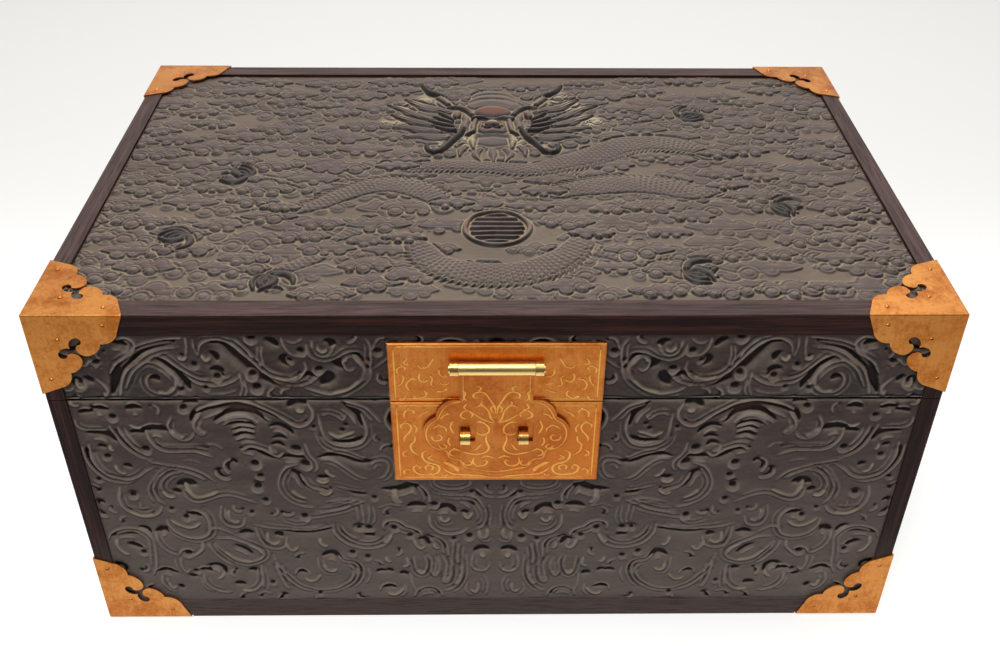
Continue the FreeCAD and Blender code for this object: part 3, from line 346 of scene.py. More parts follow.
class Carving:
    def __init__(self, low, high, pitch):
        self.low, self.high, self.pitch = low, high, pitch
        across, up = (int(round((high[k] - low[k]) / pitch)) + 1 for k in (0, 1))
        self.u = np.linspace(low[0], high[0], across)
        self.v = np.linspace(low[1], high[1], up)
        self.h, self.blush, self.ink, self.tan = (np.zeros((up, across)) for _ in range(4))

    def window(self, u0, u1, v0, v1):
        cols = np.searchsorted(self.u, (u0, u1))
        rows = np.searchsorted(self.v, (v0, v1))
        return slice(*rows), slice(*cols)

    def away(self, rows, cols, u, v):  # distances right and up from a point
        return self.u[cols][None, :] - u, self.v[rows][:, None] - v

    def lay(self, rows, cols, q, gap, value, moat, keep=0.3):
        # New work covers the old, with a groove round it
        block = self.h[rows, cols]
        inside = q < 1.0
        block[inside] = np.maximum(value, keep * block)[inside]
        near = ~inside & (gap < moat)
        block[near] *= np.clip(gap[near] / moat, 0.0, 1.0)

    def near(self, path, half, top, moat):
        # For the points round a path: q, the distance from it over the half width there, the gap beyond
        # its edge, the distances across and along it, and the level there
        count = len(path)
        half = np.broadcast_to(np.asarray(half, float), count)
        top = np.broadcast_to(np.asarray(top, float), count)
        reach = half.max() + moat
        rows, cols = self.window(path[:, 0].min() - reach, path[:, 0].max() + reach,
                                 path[:, 1].min() - reach, path[:, 1].max() + reach)
        size = (rows.stop - rows.start, cols.stop - cols.start)
        q, gap = np.full(size, 9.0), np.full(size, 9.0)
        across, along, level = np.zeros(size), np.zeros(size), np.zeros(size)
        run = 0.0
        for i in range(count - 1):
            a, b = path[i], path[i + 1]
            e = b - a
            length = max(np.hypot(*e), 1e-6)
            r = max(half[i], half[i + 1]) + moat
            subRows, subCols = self.window(min(a[0], b[0]) - r, max(a[0], b[0]) + r,
                                           min(a[1], b[1]) - r, max(a[1], b[1]) + r)
            spot = (slice(subRows.start - rows.start, subRows.stop - rows.start),
                    slice(subCols.start - cols.start, subCols.stop - cols.start))
            du = self.u[subCols][None, :] - a[0]
            dv = self.v[subRows][:, None] - a[1]
            t = np.clip((du * e[0] + dv * e[1]) / length ** 2, 0.0, 1.0)
            d = np.hypot(du - t * e[0], dv - t * e[1])
            wide = np.maximum(half[i] + t * (half[i + 1] - half[i]), 0.12)
            ratio = d / wide
            closer = ratio < q[spot]
            for field, new in ((q, ratio), (gap, d - wide), (along, run + t * length),
                               (across, d * np.sign(e[0] * dv - e[1] * du)),
                               (level, top[i] + t * (top[i + 1] - top[i]))):
                field[spot] = np.where(closer, new, field[spot])
            run += length
        return rows, cols, q, gap, across, along, level

    def stroke(self, path, half, top, shape, moat=0.9, ink=0.0):  # height is the level times the shape at q; the last value marks painted black shade on the stroke
        rows, cols, q, gap, across, along, level = self.near(path, half, top, moat)
        self.lay(rows, cols, q, gap, level * shapes[shape](q, across, along), moat)
        self.ink[rows, cols] = np.where(q < 1.0, ink, self.ink[rows, cols])

    def rim(self, path, half, top, tan=0.0):
        # Raised line: a bell curve on the face, with a soft groove on both sides; the last value marks a
        # painted glint along it
        rows, cols, q, gap, _, _, level = self.near(path, half, top, 2.2)
        block = self.h[rows, cols]
        block -= 0.16 * np.exp(-((gap - 0.6) / 0.75) ** 2)
        block[:] = np.where(q < 1.4, np.maximum(block, (level + 0.2) * np.exp(-1.8 * q * q) - 0.2), block)
        self.tan[rows, cols] = np.maximum(self.tan[rows, cols], tan * (1.0 - smooth(q, 0.5, 1.2)))

    def gouge(self, path, half, deep, blush):
        # Hollow: the depth times 1 - q squared, widest in the middle of the path
        wide = half * np.sin(np.linspace(0.12, math.pi - 0.12, len(path))) ** 0.7
        rows, cols, q, *_ = self.near(path, wide, 0.0, 0.2)
        block = self.h[rows, cols]
        block[:] = np.where(q < 1.0, np.minimum(block, deep * (q * q - 1.0)), block)
        self.redden(rows, cols, blush * (1.0 - smooth(q, 0.4, 1.0)))

    def redden(self, rows, cols, value):
        self.blush[rows, cols] = np.maximum(self.blush[rows, cols], value)

    def dome(self, u, v, ru, rv, top, turn=0.0, blush=0.0):  # half round boss on an oval
        moat = 0.7
        reach = max(ru, rv) + moat
        rows, cols = self.window(u - reach, u + reach, v - reach, v + reach)
        du, dv = self.away(rows, cols, u, v)
        x = (du * math.cos(turn) + dv * math.sin(turn)) / ru
        y = (dv * math.cos(turn) - du * math.sin(turn)) / rv
        q = np.hypot(x, y)
        value = top * np.sqrt(np.clip(1.0 - q * q, 0.0, 1.0))
        self.lay(rows, cols, q, (q - 1.0) * min(ru, rv), value, moat)
        self.redden(rows, cols, blush * (1.0 - smooth(q, 0.5, 1.1)))

    def eye(self, u, v, r, top, turn):
        # Volute eye: a bowl deepest at its upper side, in a lip high towards one side and open on the other
        rows, cols = self.window(u - 1.5 * r, u + 1.5 * r, v - 1.5 * r, v + 1.5 * r)
        du, dv = self.away(rows, cols, u, v)
        q = np.hypot(du, dv) / r
        bowl = np.hypot(du, dv - 0.22 * r) / r
        side = 0.5 + 0.5 * np.cos(np.arctan2(dv, du) - turn)
        lip = top * side ** 1.5 * np.exp(-((q - 0.95) / 0.2) ** 2)
        value = lip - 1.4 * (1.0 - smooth(bowl, 0.2, 0.85))
        fade = smooth(q, 0.85, 1.4)
        self.h[rows, cols] = self.h[rows, cols] * fade + value * (1.0 - fade)
        self.redden(rows, cols, 0.2 * (1.0 - smooth(q, 0.3, 0.9)))

    def commas(self, rng, radii, tries):  # curled cuts with a rim round them, where a part is still bare
        t = np.linspace(0, 1, 24)
        for radius in radii:
            for u, v in rng.uniform(self.low, self.high, (tries, 2)):
                rows, cols = self.window(u - radius, u + radius, v - radius, v + radius)
                if np.abs(self.h[rows, cols]).max(initial=0.0) > 0.2:
                    continue
                span = rng.choice((-1, 1)) * rng.uniform(2.4, 3.6) * max(1.0, radius / 5.0)
                turn = rng.uniform(0, 2 * math.pi) + span * t
                way = np.column_stack([np.cos(turn), np.sin(turn)])
                way *= (radius * (0.8 - 0.6 * t))[:, None]
                self.gouge(way + (u, v), min(0.28 * radius, 1.7), 1.1, 0.3)
                self.rim(way[:14] * 1.35 + (u, v), 0.65, 0.7)


def blurred(h, sigma):  # separable Gaussian
    reach = max(1, int(3 * sigma))
    taps = np.exp(-0.5 * (np.arange(-reach, reach + 1) / sigma) ** 2)
    taps /= taps.sum()
    for axis in (0, 1):
        pad = [(0, 0), (0, 0)]
        pad[axis] = (reach, reach)
        wide = np.pad(h, pad, mode="edge")
        h = sum(t * np.take(wide, range(k, k + h.shape[axis]), axis) for k, t in enumerate(taps))
    return h


def roughCloth(shape, cell, rng):  # random values on a coarse grid, drawn out smoothly
    coarse = rng.normal(size=(shape[0] // cell + 3, shape[1] // cell + 3))
    rows = np.linspace(0.5, coarse.shape[0] - 1.5, shape[0])
    cols = np.linspace(0.5, coarse.shape[1] - 1.5, shape[1])
    tall = np.array([np.interp(rows, np.arange(coarse.shape[0]), c) for c in coarse.T]).T
    return np.array([np.interp(cols, np.arange(coarse.shape[1]), r) for r in tall])


def leaned(h, pitch, slant):
    # Moves high points down and low ones up the panel, so that upper edges of hollows are steep
    rows = np.clip(np.arange(h.shape[0])[:, None] + slant * h / pitch, 0, h.shape[0] - 1.001)
    i = rows.astype(int)
    cols = np.arange(h.shape[1])[None, :]
    return h[i, cols] * (1 - rows + i) + h[i + 1, cols] * (rows - i)


def handCut(h, pitch, soft, rng):  # shifts the lines a little, softens the edges and leaves tool marks
    wander, cell = 0.28 / pitch, int(9 / pitch)
    up, across = h.shape
    rows = np.clip(np.arange(up)[:, None] + roughCloth(h.shape, cell, rng) * wander, 0, up - 1.001)
    cols = np.clip(np.arange(across)[None, :] + roughCloth(h.shape, cell, rng) * wander, 0, across - 1.001)
    i, j = rows.astype(int), cols.astype(int)
    fi, fj = rows - i, cols - j
    h = (h[i, j] * (1 - fi) * (1 - fj) + h[i + 1, j] * fi * (1 - fj)
         + h[i, j + 1] * (1 - fi) * fj + h[i + 1, j + 1] * fi * fj)
    h = blurred(h, soft / pitch)
    h = h * (1.0 + 0.05 * roughCloth(h.shape, int(14 / pitch), rng))
    return h + 0.03 * roughCloth(h.shape, max(2, int(1.8 / pitch)), rng)


# Faces of the box: origin, direction of u, direction of v, outward direction
halfWidth, halfDepth, boxTop, jointHeight = 199.3, 128.0, 192.8, 146.4
faces = {
    "front": ((0, -halfDepth, 0), (1, 0, 0), (0, 0, 1), (0, -1, 0)),
    "back": ((0, halfDepth, 0), (-1, 0, 0), (0, 0, 1), (0, 1, 0)),
    "right": ((halfWidth, 0, 0), (0, 1, 0), (0, 0, 1), (1, 0, 0)),
    "left": ((-halfWidth, 0, 0), (0, -1, 0), (0, 0, 1), (-1, 0, 0)),
    "top": ((0, 0, boxTop), (1, 0, 0), (0, 1, 0), (0, 0, 1)),
}


def onFace(face, u, v, d):
    origin, right, up, out = (np.array(a, float) for a in faces[face])
    place = origin + np.multiply.outer(u, right) + np.multiply.outer(v, up) + np.multiply.outer(d, out)
    return place * 0.001


def buildMesh(name, verts, loops, starts, shaded, finish, attributes, normals=None):
    mesh = bpy.data.meshes.new(name)
    mesh.vertices.add(len(verts))
    mesh.vertices.foreach_set("co", verts.astype(np.float32).ravel())
    mesh.loops.add(len(loops))
    mesh.loops.foreach_set("vertex_index", loops.astype(np.int32))
    mesh.polygons.add(len(starts))
    mesh.polygons.foreach_set("loop_start", starts.astype(np.int32))
    mesh.polygons.foreach_set("use_smooth", shaded)
    mesh.update(calc_edges=True)
    if normals is not None:
        mesh.normals_split_custom_set_from_vertices(normals)
    for key, values in attributes.items():
        mesh.attributes.new(key, "FLOAT", "POINT").data.foreach_set("value", values.astype(np.float32))
    mesh.materials.append(finish)
    piece = bpy.data.objects.new(name, mesh)
    bpy.context.scene.collection.objects.link(piece)
    return piece


def carvedBoard(name, face, u, v, d, slopes, marks, inset, depths, finish):
    # Closed board: the relief d(u, v) in front, straight edges down to the lap, a step in to the inner
    # layer, a flat back
    up, across = d.shape
    gridU, gridV = np.meshgrid(u, v)
    corner = [(u[0], v[0]), (u[-1], v[0]), (u[-1], v[-1]), (u[0], v[-1])]
    inner = [(u[0] + inset[0], v[0] + inset[2]), (u[-1] - inset[1], v[0] + inset[2]),
             (u[-1] - inset[1], v[-1] - inset[3]), (u[0] + inset[0], v[-1] - inset[3])]
    extra = np.array([(*p, -depths[0]) for p in corner] + [(*p, -depths[0]) for p in inner]
                     + [(*p, -depths[1]) for p in inner])
    verts = np.vstack([onFace(face, gridU.ravel(), gridV.ravel(), d.ravel()), onFace(face, *extra.T)])
    index = np.arange(up * across).reshape(up, across)
    quads = np.stack([index[:-1, :-1], index[:-1, 1:], index[1:, 1:], index[1:, :-1]], -1).reshape(-1, 4)
    base = up * across
    c, r, s = ([base + 4 * k + n for n in range(4)] for k in range(3))
    walls = [np.r_[c[0], c[1], index[0, ::-1]], np.r_[c[1], c[2], index[::-1, -1]],
             np.r_[c[2], c[3], index[-1, :]], np.r_[c[3], c[0], index[:, 0]]]
    for k in range(4):
        n = (k + 1) % 4
        walls.append(np.array((c[k], r[k], r[n], c[n])))
        walls.append(np.array((s[k], s[n], r[n], r[k])))
    walls.append(np.array((s[0], s[3], s[2], s[1])))
    counts = np.r_[np.full(len(quads), 4), [len(x) for x in walls]]
    loops = np.concatenate([quads.ravel(), *walls])
    starts = np.r_[0, np.cumsum(counts)[:-1]]
    shaded = np.r_[np.ones(len(quads), bool), np.zeros(len(walls), bool)]
    attributes = {key: np.r_[values.ravel(), np.zeros(12)] for key, values in marks.items()}
    right, up, out = (np.array(a, float) for a in faces[face][1:])
    normals = out - np.multiply.outer(slopes[0].ravel(), right) - np.multiply.outer(slopes[1].ravel(), up)
    normals /= np.linalg.norm(normals, axis=1)[:, None]
    normals = np.vstack([normals, np.tile(-out, (12, 1))])
    return buildMesh(name, verts, loops, starts, shaded, finish, attributes, normals)


def carve(node, body, face, carving, h, ground, floor, spread, tiles, step, depths, finish):
    # One panel as one or more boards side by side; the marks tell where dust, worn edges, painted light and
    # painted shade lie
    slopes = (np.gradient(h, carving.u, axis=1), np.gradient(h, carving.v, axis=0))
    spread = spread / carving.pitch
    sunk = blurred(h, spread) * 0.6 + blurred(h, 2.8 * spread) * 0.4 - h
    marks = {"sunk": np.clip(sunk / 0.5, -1, 1), "tilt": np.clip(-slopes[1], -1.5, 1.5),
             "deep": 1.0 - smooth(h, *floor), "blush": carving.blush, "ink": carving.ink, "tan": carving.tan}
    edges = np.linspace(0, len(carving.u) - 1, tiles + 1).astype(int)
    for k in range(tiles):
        part = slice(edges[k], edges[k + 1] + 1)
        inset = [step[0] if k == 0 else 0.05, step[0] if k == tiles - 1 else 0.05, step[1], step[2]]
        name = node + "_carved" + (f"_{k + 1}" if tiles > 1 else "")
        tileMarks = {key: values[:, part] for key, values in marks.items()}
        piece = carvedBoard(name, face, carving.u[part], carving.v, ground + h[:, part],
                            [a[:, part] for a in slopes], tileMarks, inset, depths, finishes[finish])
        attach(piece, body)
        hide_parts(node)


def held(h, carving, covers, level):  # keeps the relief below what is laid on the panel
    for u0, u1, v0, v1 in covers:
        rows, cols = carving.window(u0, u1, v0, v1)
        h[rows, cols] = np.minimum(h[rows, cols], level)
    return h


def traced(values, scale, u0, v0):
    # Pairs measured right and down, in steps of 1/scale mm, to panel millimetres
    pairs = np.asarray(values, float).reshape(-1, 2)
    return np.column_stack([pairs[:, 0] / scale + u0, v0 - pairs[:, 1] / scale])


# Front of the lid and base, left half: half width or radius, then distances left of the middle and
# heights, in mm
lidWork = {
    "gouge": [
        (2.4, 169.8, 149, 167, 156.5, 162.5, 164, 156, 171, 148, 176, 138, 178.7),
        (2.6, 122, 178, 117, 177, 112, 171, 107, 164.5, 102, 158.8, 96.5, 156, 90, 155.2),
        (1.8, 147, 168.8, 141.5, 164.5, 137.5, 158.5, 135.3, 151.5),
        (1.3, 153, 158.5, 150.5, 158.8, 148.3, 156.5), (1.1, 123.5, 172.5, 121.5, 170, 121, 167),
        (1.4, 124.5, 162.8, 122, 162.8, 119.5, 161), (1.2, 124, 158.5, 121.5, 159.5, 118.5, 157),
        (1.4, 91.5, 171, 92.3, 167.5, 90, 164.5), (1.3, 99.5, 179.5, 96.5, 178, 94.5, 175),
        (1.3, 74, 178.5, 71.5, 177.5, 70.3, 174.5), (1.8, 69, 170, 69, 166, 66.5, 163.5),
        (1.5, 63, 171.5, 58.5, 169.3, 56, 165, 56.3, 160), (1.9, 73.5, 161, 74, 157.5, 76.5, 153.8),
        (1.2, 181, 155.5, 179.5, 157.5, 177.5, 155.5), (1.0, 176, 165, 173.5, 165.5, 171.5, 164),
        (1.4, 166, 178, 161, 177.3, 158, 176), (1.2, 86.5, 160.5, 82, 160, 79.5, 158.3),
    ],
    "rim": [
        (0.8, 168.5, 160, 163, 168, 155, 175.8, 145, 179.5, 134, 181),
        (0.7, 166.5, 148, 164.5, 156, 160, 163.5, 152, 170.5, 145, 174, 136, 176),
        (0.9, 128.5, 171, 127.5, 176, 124, 179.5, 119, 179.5, 113, 175.5, 107, 168, 102, 161.5, 97, 158.3,
         91, 157.2, 86, 158.8, 83, 163, 83.5, 167.5), (0.6, 118, 181.3, 112, 178.5, 107.5, 173, 106, 168.5),
        (0.7, 164, 152, 158, 163, 153, 167.5, 148, 166.8, 143, 162.5, 140, 157, 138.5, 150.5),
        (0.9, 147, 170.5, 143, 169, 139.5, 165.5, 137, 163, 133, 159.5, 129, 157.5, 125.5, 158.5),
        (0.8, 149, 160.8, 152, 160, 153.8, 156.5, 152.5, 152, 148.5, 149.8, 144, 150.3, 141.2, 154, 141,
         159), (0.8, 137, 160, 132, 156, 126, 154.5, 120, 155, 115, 157.5, 112.5, 159.8),
        (0.6, 112.5, 161, 111.8, 154, 113.5, 148), (0.6, 110.8, 157, 110.3, 152, 111.5, 148),
        (0.6, 128, 150, 120, 150.2, 114, 152), (0.6, 103, 176, 103.5, 170, 102.5, 164),
        (0.6, 101.3, 176, 101.8, 170, 100.8, 165), (0.6, 92.5, 181, 91.5, 176, 89, 172, 85.5, 170.5),
        (0.6, 91, 179, 87, 178, 83, 180.5), (0.7, 79.5, 179, 79, 174, 76, 171.3, 72.5, 172.3, 70, 175.5),
        (0.7, 82, 177, 80.5, 171, 76, 168.3, 70.5, 169, 67, 171.5, 64.5, 173, 60, 172.8, 56.8, 170),
        (0.7, 57, 180.5, 54.5, 176, 54.2, 170, 55.5, 163, 58, 157),
        (0.9, 66, 170, 62, 169.5, 58.7, 166, 57.6, 162, 59.5, 157.5, 63, 153.5, 68, 150.5, 74, 149.7, 80,
         151, 86, 153.8), (0.7, 64, 170, 66.7, 167.5, 66.3, 164, 64, 162.5, 61.5, 164),
        (0.7, 100, 158.5, 95, 155, 88, 154, 82, 155.5, 78.5, 158), (0.6, 54, 163.5, 50, 167, 46, 170.5),
        (0.6, 52, 179, 53.3, 174), (0.7, 182, 166.3, 178, 166, 175.8, 168.5, 172.5, 168),
        (0.8, 163, 178.5, 158.5, 181, 155, 177.5, 156.5, 173, 161, 169.5, 166, 165),
        (0.6, 176, 158.5, 171.8, 153, 172, 147.5), (0.6, 133.3, 181, 133.5, 176, 134.6, 170.5),
        (0.6, 130, 180, 130.2, 175, 129, 170),
    ],
    "glint": [
        (1.0, 149, 151, 145.3, 150.2, 142, 153.3), (1.0, 127.5, 171, 126, 168.2, 124, 169.5),
        (0.8, 137.5, 170.5, 136, 168.8, 134.3, 170.5), (0.8, 97, 158.8, 92, 157.8, 87.5, 159.3),
        (0.8, 77.6, 175.5, 75.8, 173.2, 73.2, 174), (0.8, 72, 150.3, 65, 152.3, 60.5, 157),
        (0.8, 184.5, 156.5, 183.8, 153.8, 181.5, 154),
    ],
    "eye": [
        (3.2, 107, 159.3), (3.3, 105.7, 152.2), (2.0, 128, 152.6), (2.2, 139, 151.3), (3.4, 105.5, 180),
        (2.7, 84.5, 173), (3.0, 77.5, 162.3), (2.6, 173.3, 166.5), (4.2, 184, 155.3), (2.3, 131.5, 165.6),
        (2.6, 122.3, 158), (2.6, 51, 172.5), (2.2, 89.5, 167.2), (1.9, 136.5, 170.3),
    ],
}
baseWork = {
    "gouge": [
        (2.0, 137.5, 133.5, 135, 137.5, 129, 141, 121, 142.7, 113, 142, 105, 139.4, 99, 136.3, 95, 133.3),
        (1.4, 127.2, 133, 122, 137, 115, 138.4, 108.5, 136.5, 104, 132),
        (0.9, 122, 130.2, 118, 131.7, 112.5, 131.2, 109, 129.3), (0.8, 120, 127.3, 115, 128.6, 110, 127.3),
        (0.8, 120, 123.5, 115, 125.2, 110, 124.4), (0.9, 118.3, 116.5, 113.5, 115.6, 110, 113.8),
        (1.4, 187, 137.7, 184, 139.3, 181, 138.5), (1.7, 181, 140.2, 178, 141.6, 174, 139.8),
        (1.6, 165.3, 139.8, 162, 141.2, 158.6, 140), (2.1, 160.5, 127, 156, 129.2, 150, 127.5),
        (1.4, 166, 126, 163, 126.9, 160, 125.7), (1.4, 139.3, 143.3, 136.5, 144.3, 133.2, 143.2),
        (1.8, 186, 126.2, 180, 126.3, 176, 124.3, 174, 120.5),
        (1.4, 172.3, 128, 169.8, 121, 166, 115.5, 162, 111.6),
        (1.0, 157.3, 120, 153, 117.5, 147, 117, 140, 117, 132, 117),
        (0.9, 152.5, 103.7, 147, 104.6, 140, 101.7, 136, 98.7, 133.5, 96.3),
        (1.0, 158.5, 99.5, 155.5, 102, 151, 103.3), (1.8, 149.8, 92.7, 146, 94.2, 141.3, 93.2),
        (1.1, 152, 90.2, 151, 89, 149.3, 88), (1.1, 188, 117, 187.6, 109, 184.5, 101.8, 180, 97.6),
        (1.0, 182.3, 117.5, 181, 118, 179.6, 117), (0.9, 181.5, 111.8, 179.8, 112, 178.5, 110.5),
        (1.0, 173.3, 105.7, 171.5, 105.6, 170.3, 104.3), (1.2, 174.5, 87, 172, 88.2, 170, 87),
        (1.2, 176.5, 78, 170.5, 75.3, 164, 76.3), (1.4, 111, 114.5, 105, 111.2, 101.5, 109.7),
        (0.9, 114.5, 94, 112.5, 94.8, 110.5, 93.6), (1.5, 148.8, 72.8, 145, 73.9, 141.7, 72.6),
        (1.9, 188.5, 59, 184, 62, 178, 62.3, 173, 60.3), (1.3, 173.7, 64.2, 171, 63.5, 168.5, 60.8),
        (1.5, 181, 53.2, 177.5, 52.2, 175.3, 49.8), (1.6, 165.3, 61.3, 161.5, 62.9, 158.7, 60.8),
        (1.4, 155, 47.4, 151.5, 47.9, 148.7, 45.8), (1.3, 125.5, 60.3, 122, 61, 118.5, 60),
        (1.2, 107.8, 58.5, 106, 58.8, 104.8, 57.2), (1.4, 169.3, 33.2, 165, 34.4, 160.6, 31.7),
        (1.0, 161, 22, 159.8, 21.4, 158.8, 20), (1.0, 154.5, 30.3, 152.5, 29, 150, 29.5),
        (1.3, 145, 35.8, 140.5, 37.2, 137, 35.3, 135.8, 31.5), (1.3, 148.3, 32.8, 145.5, 33.9, 142.8, 32.2),
        (1.2, 132, 23.6, 129, 23.5, 126.8, 22.8), (1.1, 123.3, 33.8, 121, 34, 118.8, 32.8),
        (0.8, 129, 52.5, 124, 49, 120.3, 45.3), (1.4, 99.3, 32, 97.3, 33.2, 95, 32),
        (1.5, 85.8, 43.5, 82, 45.6, 78.8, 44.4, 77, 41), (1.3, 76.3, 40.3, 72, 39.8, 69, 36.8, 67.6, 32.5),
        (1.6, 68.5, 63.3, 66.5, 64.4, 64.3, 62.8), (1.3, 64, 58.3, 62, 58.8, 60, 57.7),
        (1.3, 53.3, 65.5, 50.5, 67.8, 46.7, 66.5, 43.5, 63.4, 40, 62.3, 37.8, 59.5),
        (1.0, 38, 55.3, 34.7, 55.3, 32.3, 51.3), (1.2, 34.3, 57.5, 30, 57.3, 26.5, 53.6, 24.8, 49.5),
        (1.0, 60, 32.3, 57.5, 33, 55.8, 31.9), (1.0, 55.3, 32.4, 53.5, 33.1, 51.7, 31.8),
        (1.2, 47.7, 30, 46, 30.8, 44.2, 29.8), (1.4, 57, 19.8, 53.5, 21, 50.8, 19.7),
        (1.1, 39, 17, 35, 19, 31, 18.5, 28.8, 15), (1.5, 10.5, 46.7, 7.2, 48.8, 3.3, 47.5),
        (1.7, 31.3, 75.7, 27, 77.5, 22, 77.4, 19.3, 73.6),
        (1.7, 53.8, 90, 47, 89.3, 43, 90.4, 39.5, 92.3, 35.5, 89.5, 33.3, 85.5),
        (1.5, 42.5, 78.3, 38, 79.4, 33.7, 78.7), (1.4, 17, 85.3, 12, 83, 8.7, 78.6),
        (0.9, 14.3, 87.9, 10, 88, 6.8, 84.8), (1.0, 16, 74.2, 14.5, 74.9, 13.4, 73.6),
        (1.9, 92.8, 141.3, 89.5, 144, 84.8, 142.8), (1.3, 92, 133.6, 89, 132.3, 85.8, 133.3),
        (1.3, 68.5, 144, 65.5, 140.5, 62, 135.8, 60.7, 130), (0.8, 69.3, 130.6, 68.4, 130.8, 67.6, 130.2),
        (0.8, 71.3, 127.6, 70.3, 127.8, 69.3, 127), (1.4, 77, 121.5, 71, 119.7, 65, 120.5, 61.5, 124),
        (1.2, 103, 129.2, 98.5, 130, 95, 128, 92.7, 125), (1.0, 102.3, 122.3, 99, 123.1, 96, 121.7),
        (1.0, 103.3, 118.3, 100, 118.8, 97.6, 116.8), (1.3, 99, 110.3, 93, 110.8, 88, 110),
        (1.1, 97, 103.5, 92.3, 99, 90.3, 94, 88.3, 91), (1.6, 82.5, 111, 72, 112, 62.5, 107.3, 56.5, 108.7),
        (1.0, 83.3, 98.5, 81, 97.4, 78, 98.5), (1.0, 83.3, 91.3, 80.5, 90, 77.8, 91.5),
        (0.9, 70, 89.5, 66, 87.2, 61.5, 86.8), (1.0, 80, 79.5, 72, 80.8, 66, 83.5),
        (1.2, 104, 61.3, 95, 60.5, 84, 62, 79.5, 63.3), (0.9, 90.5, 109.5, 87, 108, 85.3, 104.5),
    ],
    "rim": [
        (1.0, 134.5, 138.5, 128, 142.9, 121, 144.5, 115, 144.6, 109, 143.3, 104, 140.8, 100, 138.5, 96,
         135, 93, 132, 90, 130.4, 86, 131.4, 83, 134.8, 82.4, 139.5, 84.5, 143.4),
        (0.8, 133, 137, 136, 133.5, 136.6, 129, 134.5, 126, 131.3, 126.5),
        (0.6, 126.8, 131.3, 121, 135, 115, 135.8, 109.5, 134), (0.5, 120.5, 128.7, 116, 130, 110, 128.8),
        (0.5, 119.8, 125.7, 115.5, 127.2, 110.2, 126.2), (0.5, 119.5, 121.5, 115, 123.3, 109.5, 122.3),
        (0.5, 117.5, 119.3, 113.5, 121, 109, 119.5),
        (0.8, 146, 136.5, 148.6, 131, 147.6, 125.5, 143.5, 122.5, 139.5, 123.5, 137.3, 127),
        (0.7, 186.8, 140.3, 184, 141.3, 181.3, 140.5), (0.7, 180, 142.6, 176.7, 143.7, 173, 141.8),
        (0.7, 165, 142.8, 161.5, 144.2, 157.8, 142.3), (0.7, 161, 130, 156.5, 132, 151.3, 131.5),
        (0.6, 166.3, 128.2, 163.5, 129.3, 161, 128.5),
        (0.7, 189.7, 135, 189, 130.5, 185, 128.3, 180, 128, 176, 127.8),
        (0.7, 174.6, 131, 173.5, 125, 170.5, 118, 166.5, 113, 162, 110.2, 158.5, 109.8),
        (0.7, 171.3, 130.5, 169.3, 124, 166.8, 118.5, 163.8, 113.8),
        (0.8, 160, 126, 158, 121, 155, 117, 150.5, 115.4, 145, 115.5, 139, 115.3, 134, 113.3, 130.5, 111),
        (0.6, 133.5, 120, 128.5, 119.2, 125.3, 116),
        (0.8, 162, 109, 152, 106.6, 146, 105.2, 140, 102.7, 136, 100, 132.3, 95.8),
        (0.5, 146.5, 109, 141, 109.4, 136.5, 107), (0.6, 153, 106, 158, 102, 162, 96, 164.2, 89, 163, 82),
        (0.7, 150, 104.3, 155, 102.5, 159.3, 98, 161.6, 91, 161, 85, 158, 80),
        (0.7, 147, 102, 152, 101, 156.5, 96.5, 157.7, 91, 155.7, 87, 152.3, 85),
        (0.7, 147.8, 89.5, 146.3, 84.5, 142, 82.7, 137, 84, 131, 87, 125, 87.2, 119, 84.3, 114.5, 81),
        (0.7, 190, 118, 189.2, 109, 186, 101.5, 181, 96.3, 174, 95, 168, 97.3),
        (0.8, 186.8, 119.5, 186.5, 111, 184, 103.7, 180, 99, 174, 97.2, 168, 99.2, 163, 103.5, 158.5,
         105.8),
        (1.0, 177.8, 92, 179, 86, 178, 80, 175.3, 76, 170.5, 73.1, 165, 73.6, 161.5, 76, 159.8, 79.5),
        (0.5, 169.5, 82, 169.7, 78.5, 168.5, 77),
        (0.8, 117.3, 115, 113, 117.7, 108, 116, 104, 112.7, 101, 111, 98.3, 112.8),
        (0.9, 159.2, 70.5, 158, 65, 154, 60.5, 149, 58.3, 144, 58.4, 140, 61, 138.4, 66, 138.4, 71, 140.5,
         75, 144, 76.6, 147.5, 75.5),
        (0.8, 190, 56.5, 187, 61.7, 181, 64.3, 175, 64, 170.3, 61, 167.8, 56.5, 168.3, 50, 169, 44, 169.7,
         37, 172.3, 31), (0.6, 178, 55, 175, 54, 172, 50.7),
        (0.8, 166.3, 61, 165.5, 55, 163.5, 50.5, 160, 47, 156.8, 45.2),
        (0.8, 156.8, 46, 155, 49.3, 151.5, 50.2, 148.5, 48),
        (0.8, 138.5, 57.8, 131, 58.2, 126, 55.5, 121, 52.5, 116, 48.7, 115, 45, 117, 42.3, 120, 41, 123,
         40.3, 127, 41, 131, 43.5, 135, 49, 138, 54.5), (0.7, 141.5, 55, 139.5, 48, 136, 42.2, 131.5, 38),
        (0.7, 140, 62, 136.5, 65.6, 132, 63.5, 128.8, 61),
        (0.7, 131.3, 79.5, 132.4, 72, 130.5, 67, 126, 65.4, 122.4, 67, 121, 71.5),
        (0.6, 129.8, 78, 130.3, 72, 128.5, 68.5),
        (0.7, 116.7, 65, 115.8, 57, 113.5, 51.7, 108.5, 49.9, 104, 52, 102.4, 57.5),
        (0.5, 114.7, 64, 113.7, 57.5, 112, 53.5), (0.7, 170.3, 34.5, 167, 37, 162.5, 36.5, 159.7, 33.5),
        (0.8, 168, 31, 168.3, 25, 166, 20.5, 162, 18.3), (0.8, 156.6, 43.5, 157, 37, 155.2, 33, 152.8, 35),
        (0.6, 159.7, 43, 159.5, 37, 158, 32), (0.7, 149.7, 34.3, 146.6, 36.4, 143.8, 35.4),
        (0.8, 147, 31, 146.5, 25, 143.5, 20.6, 139, 18.2, 134.5, 17.6),
        (0.6, 148.8, 28, 147.3, 21.8, 143.3, 18),
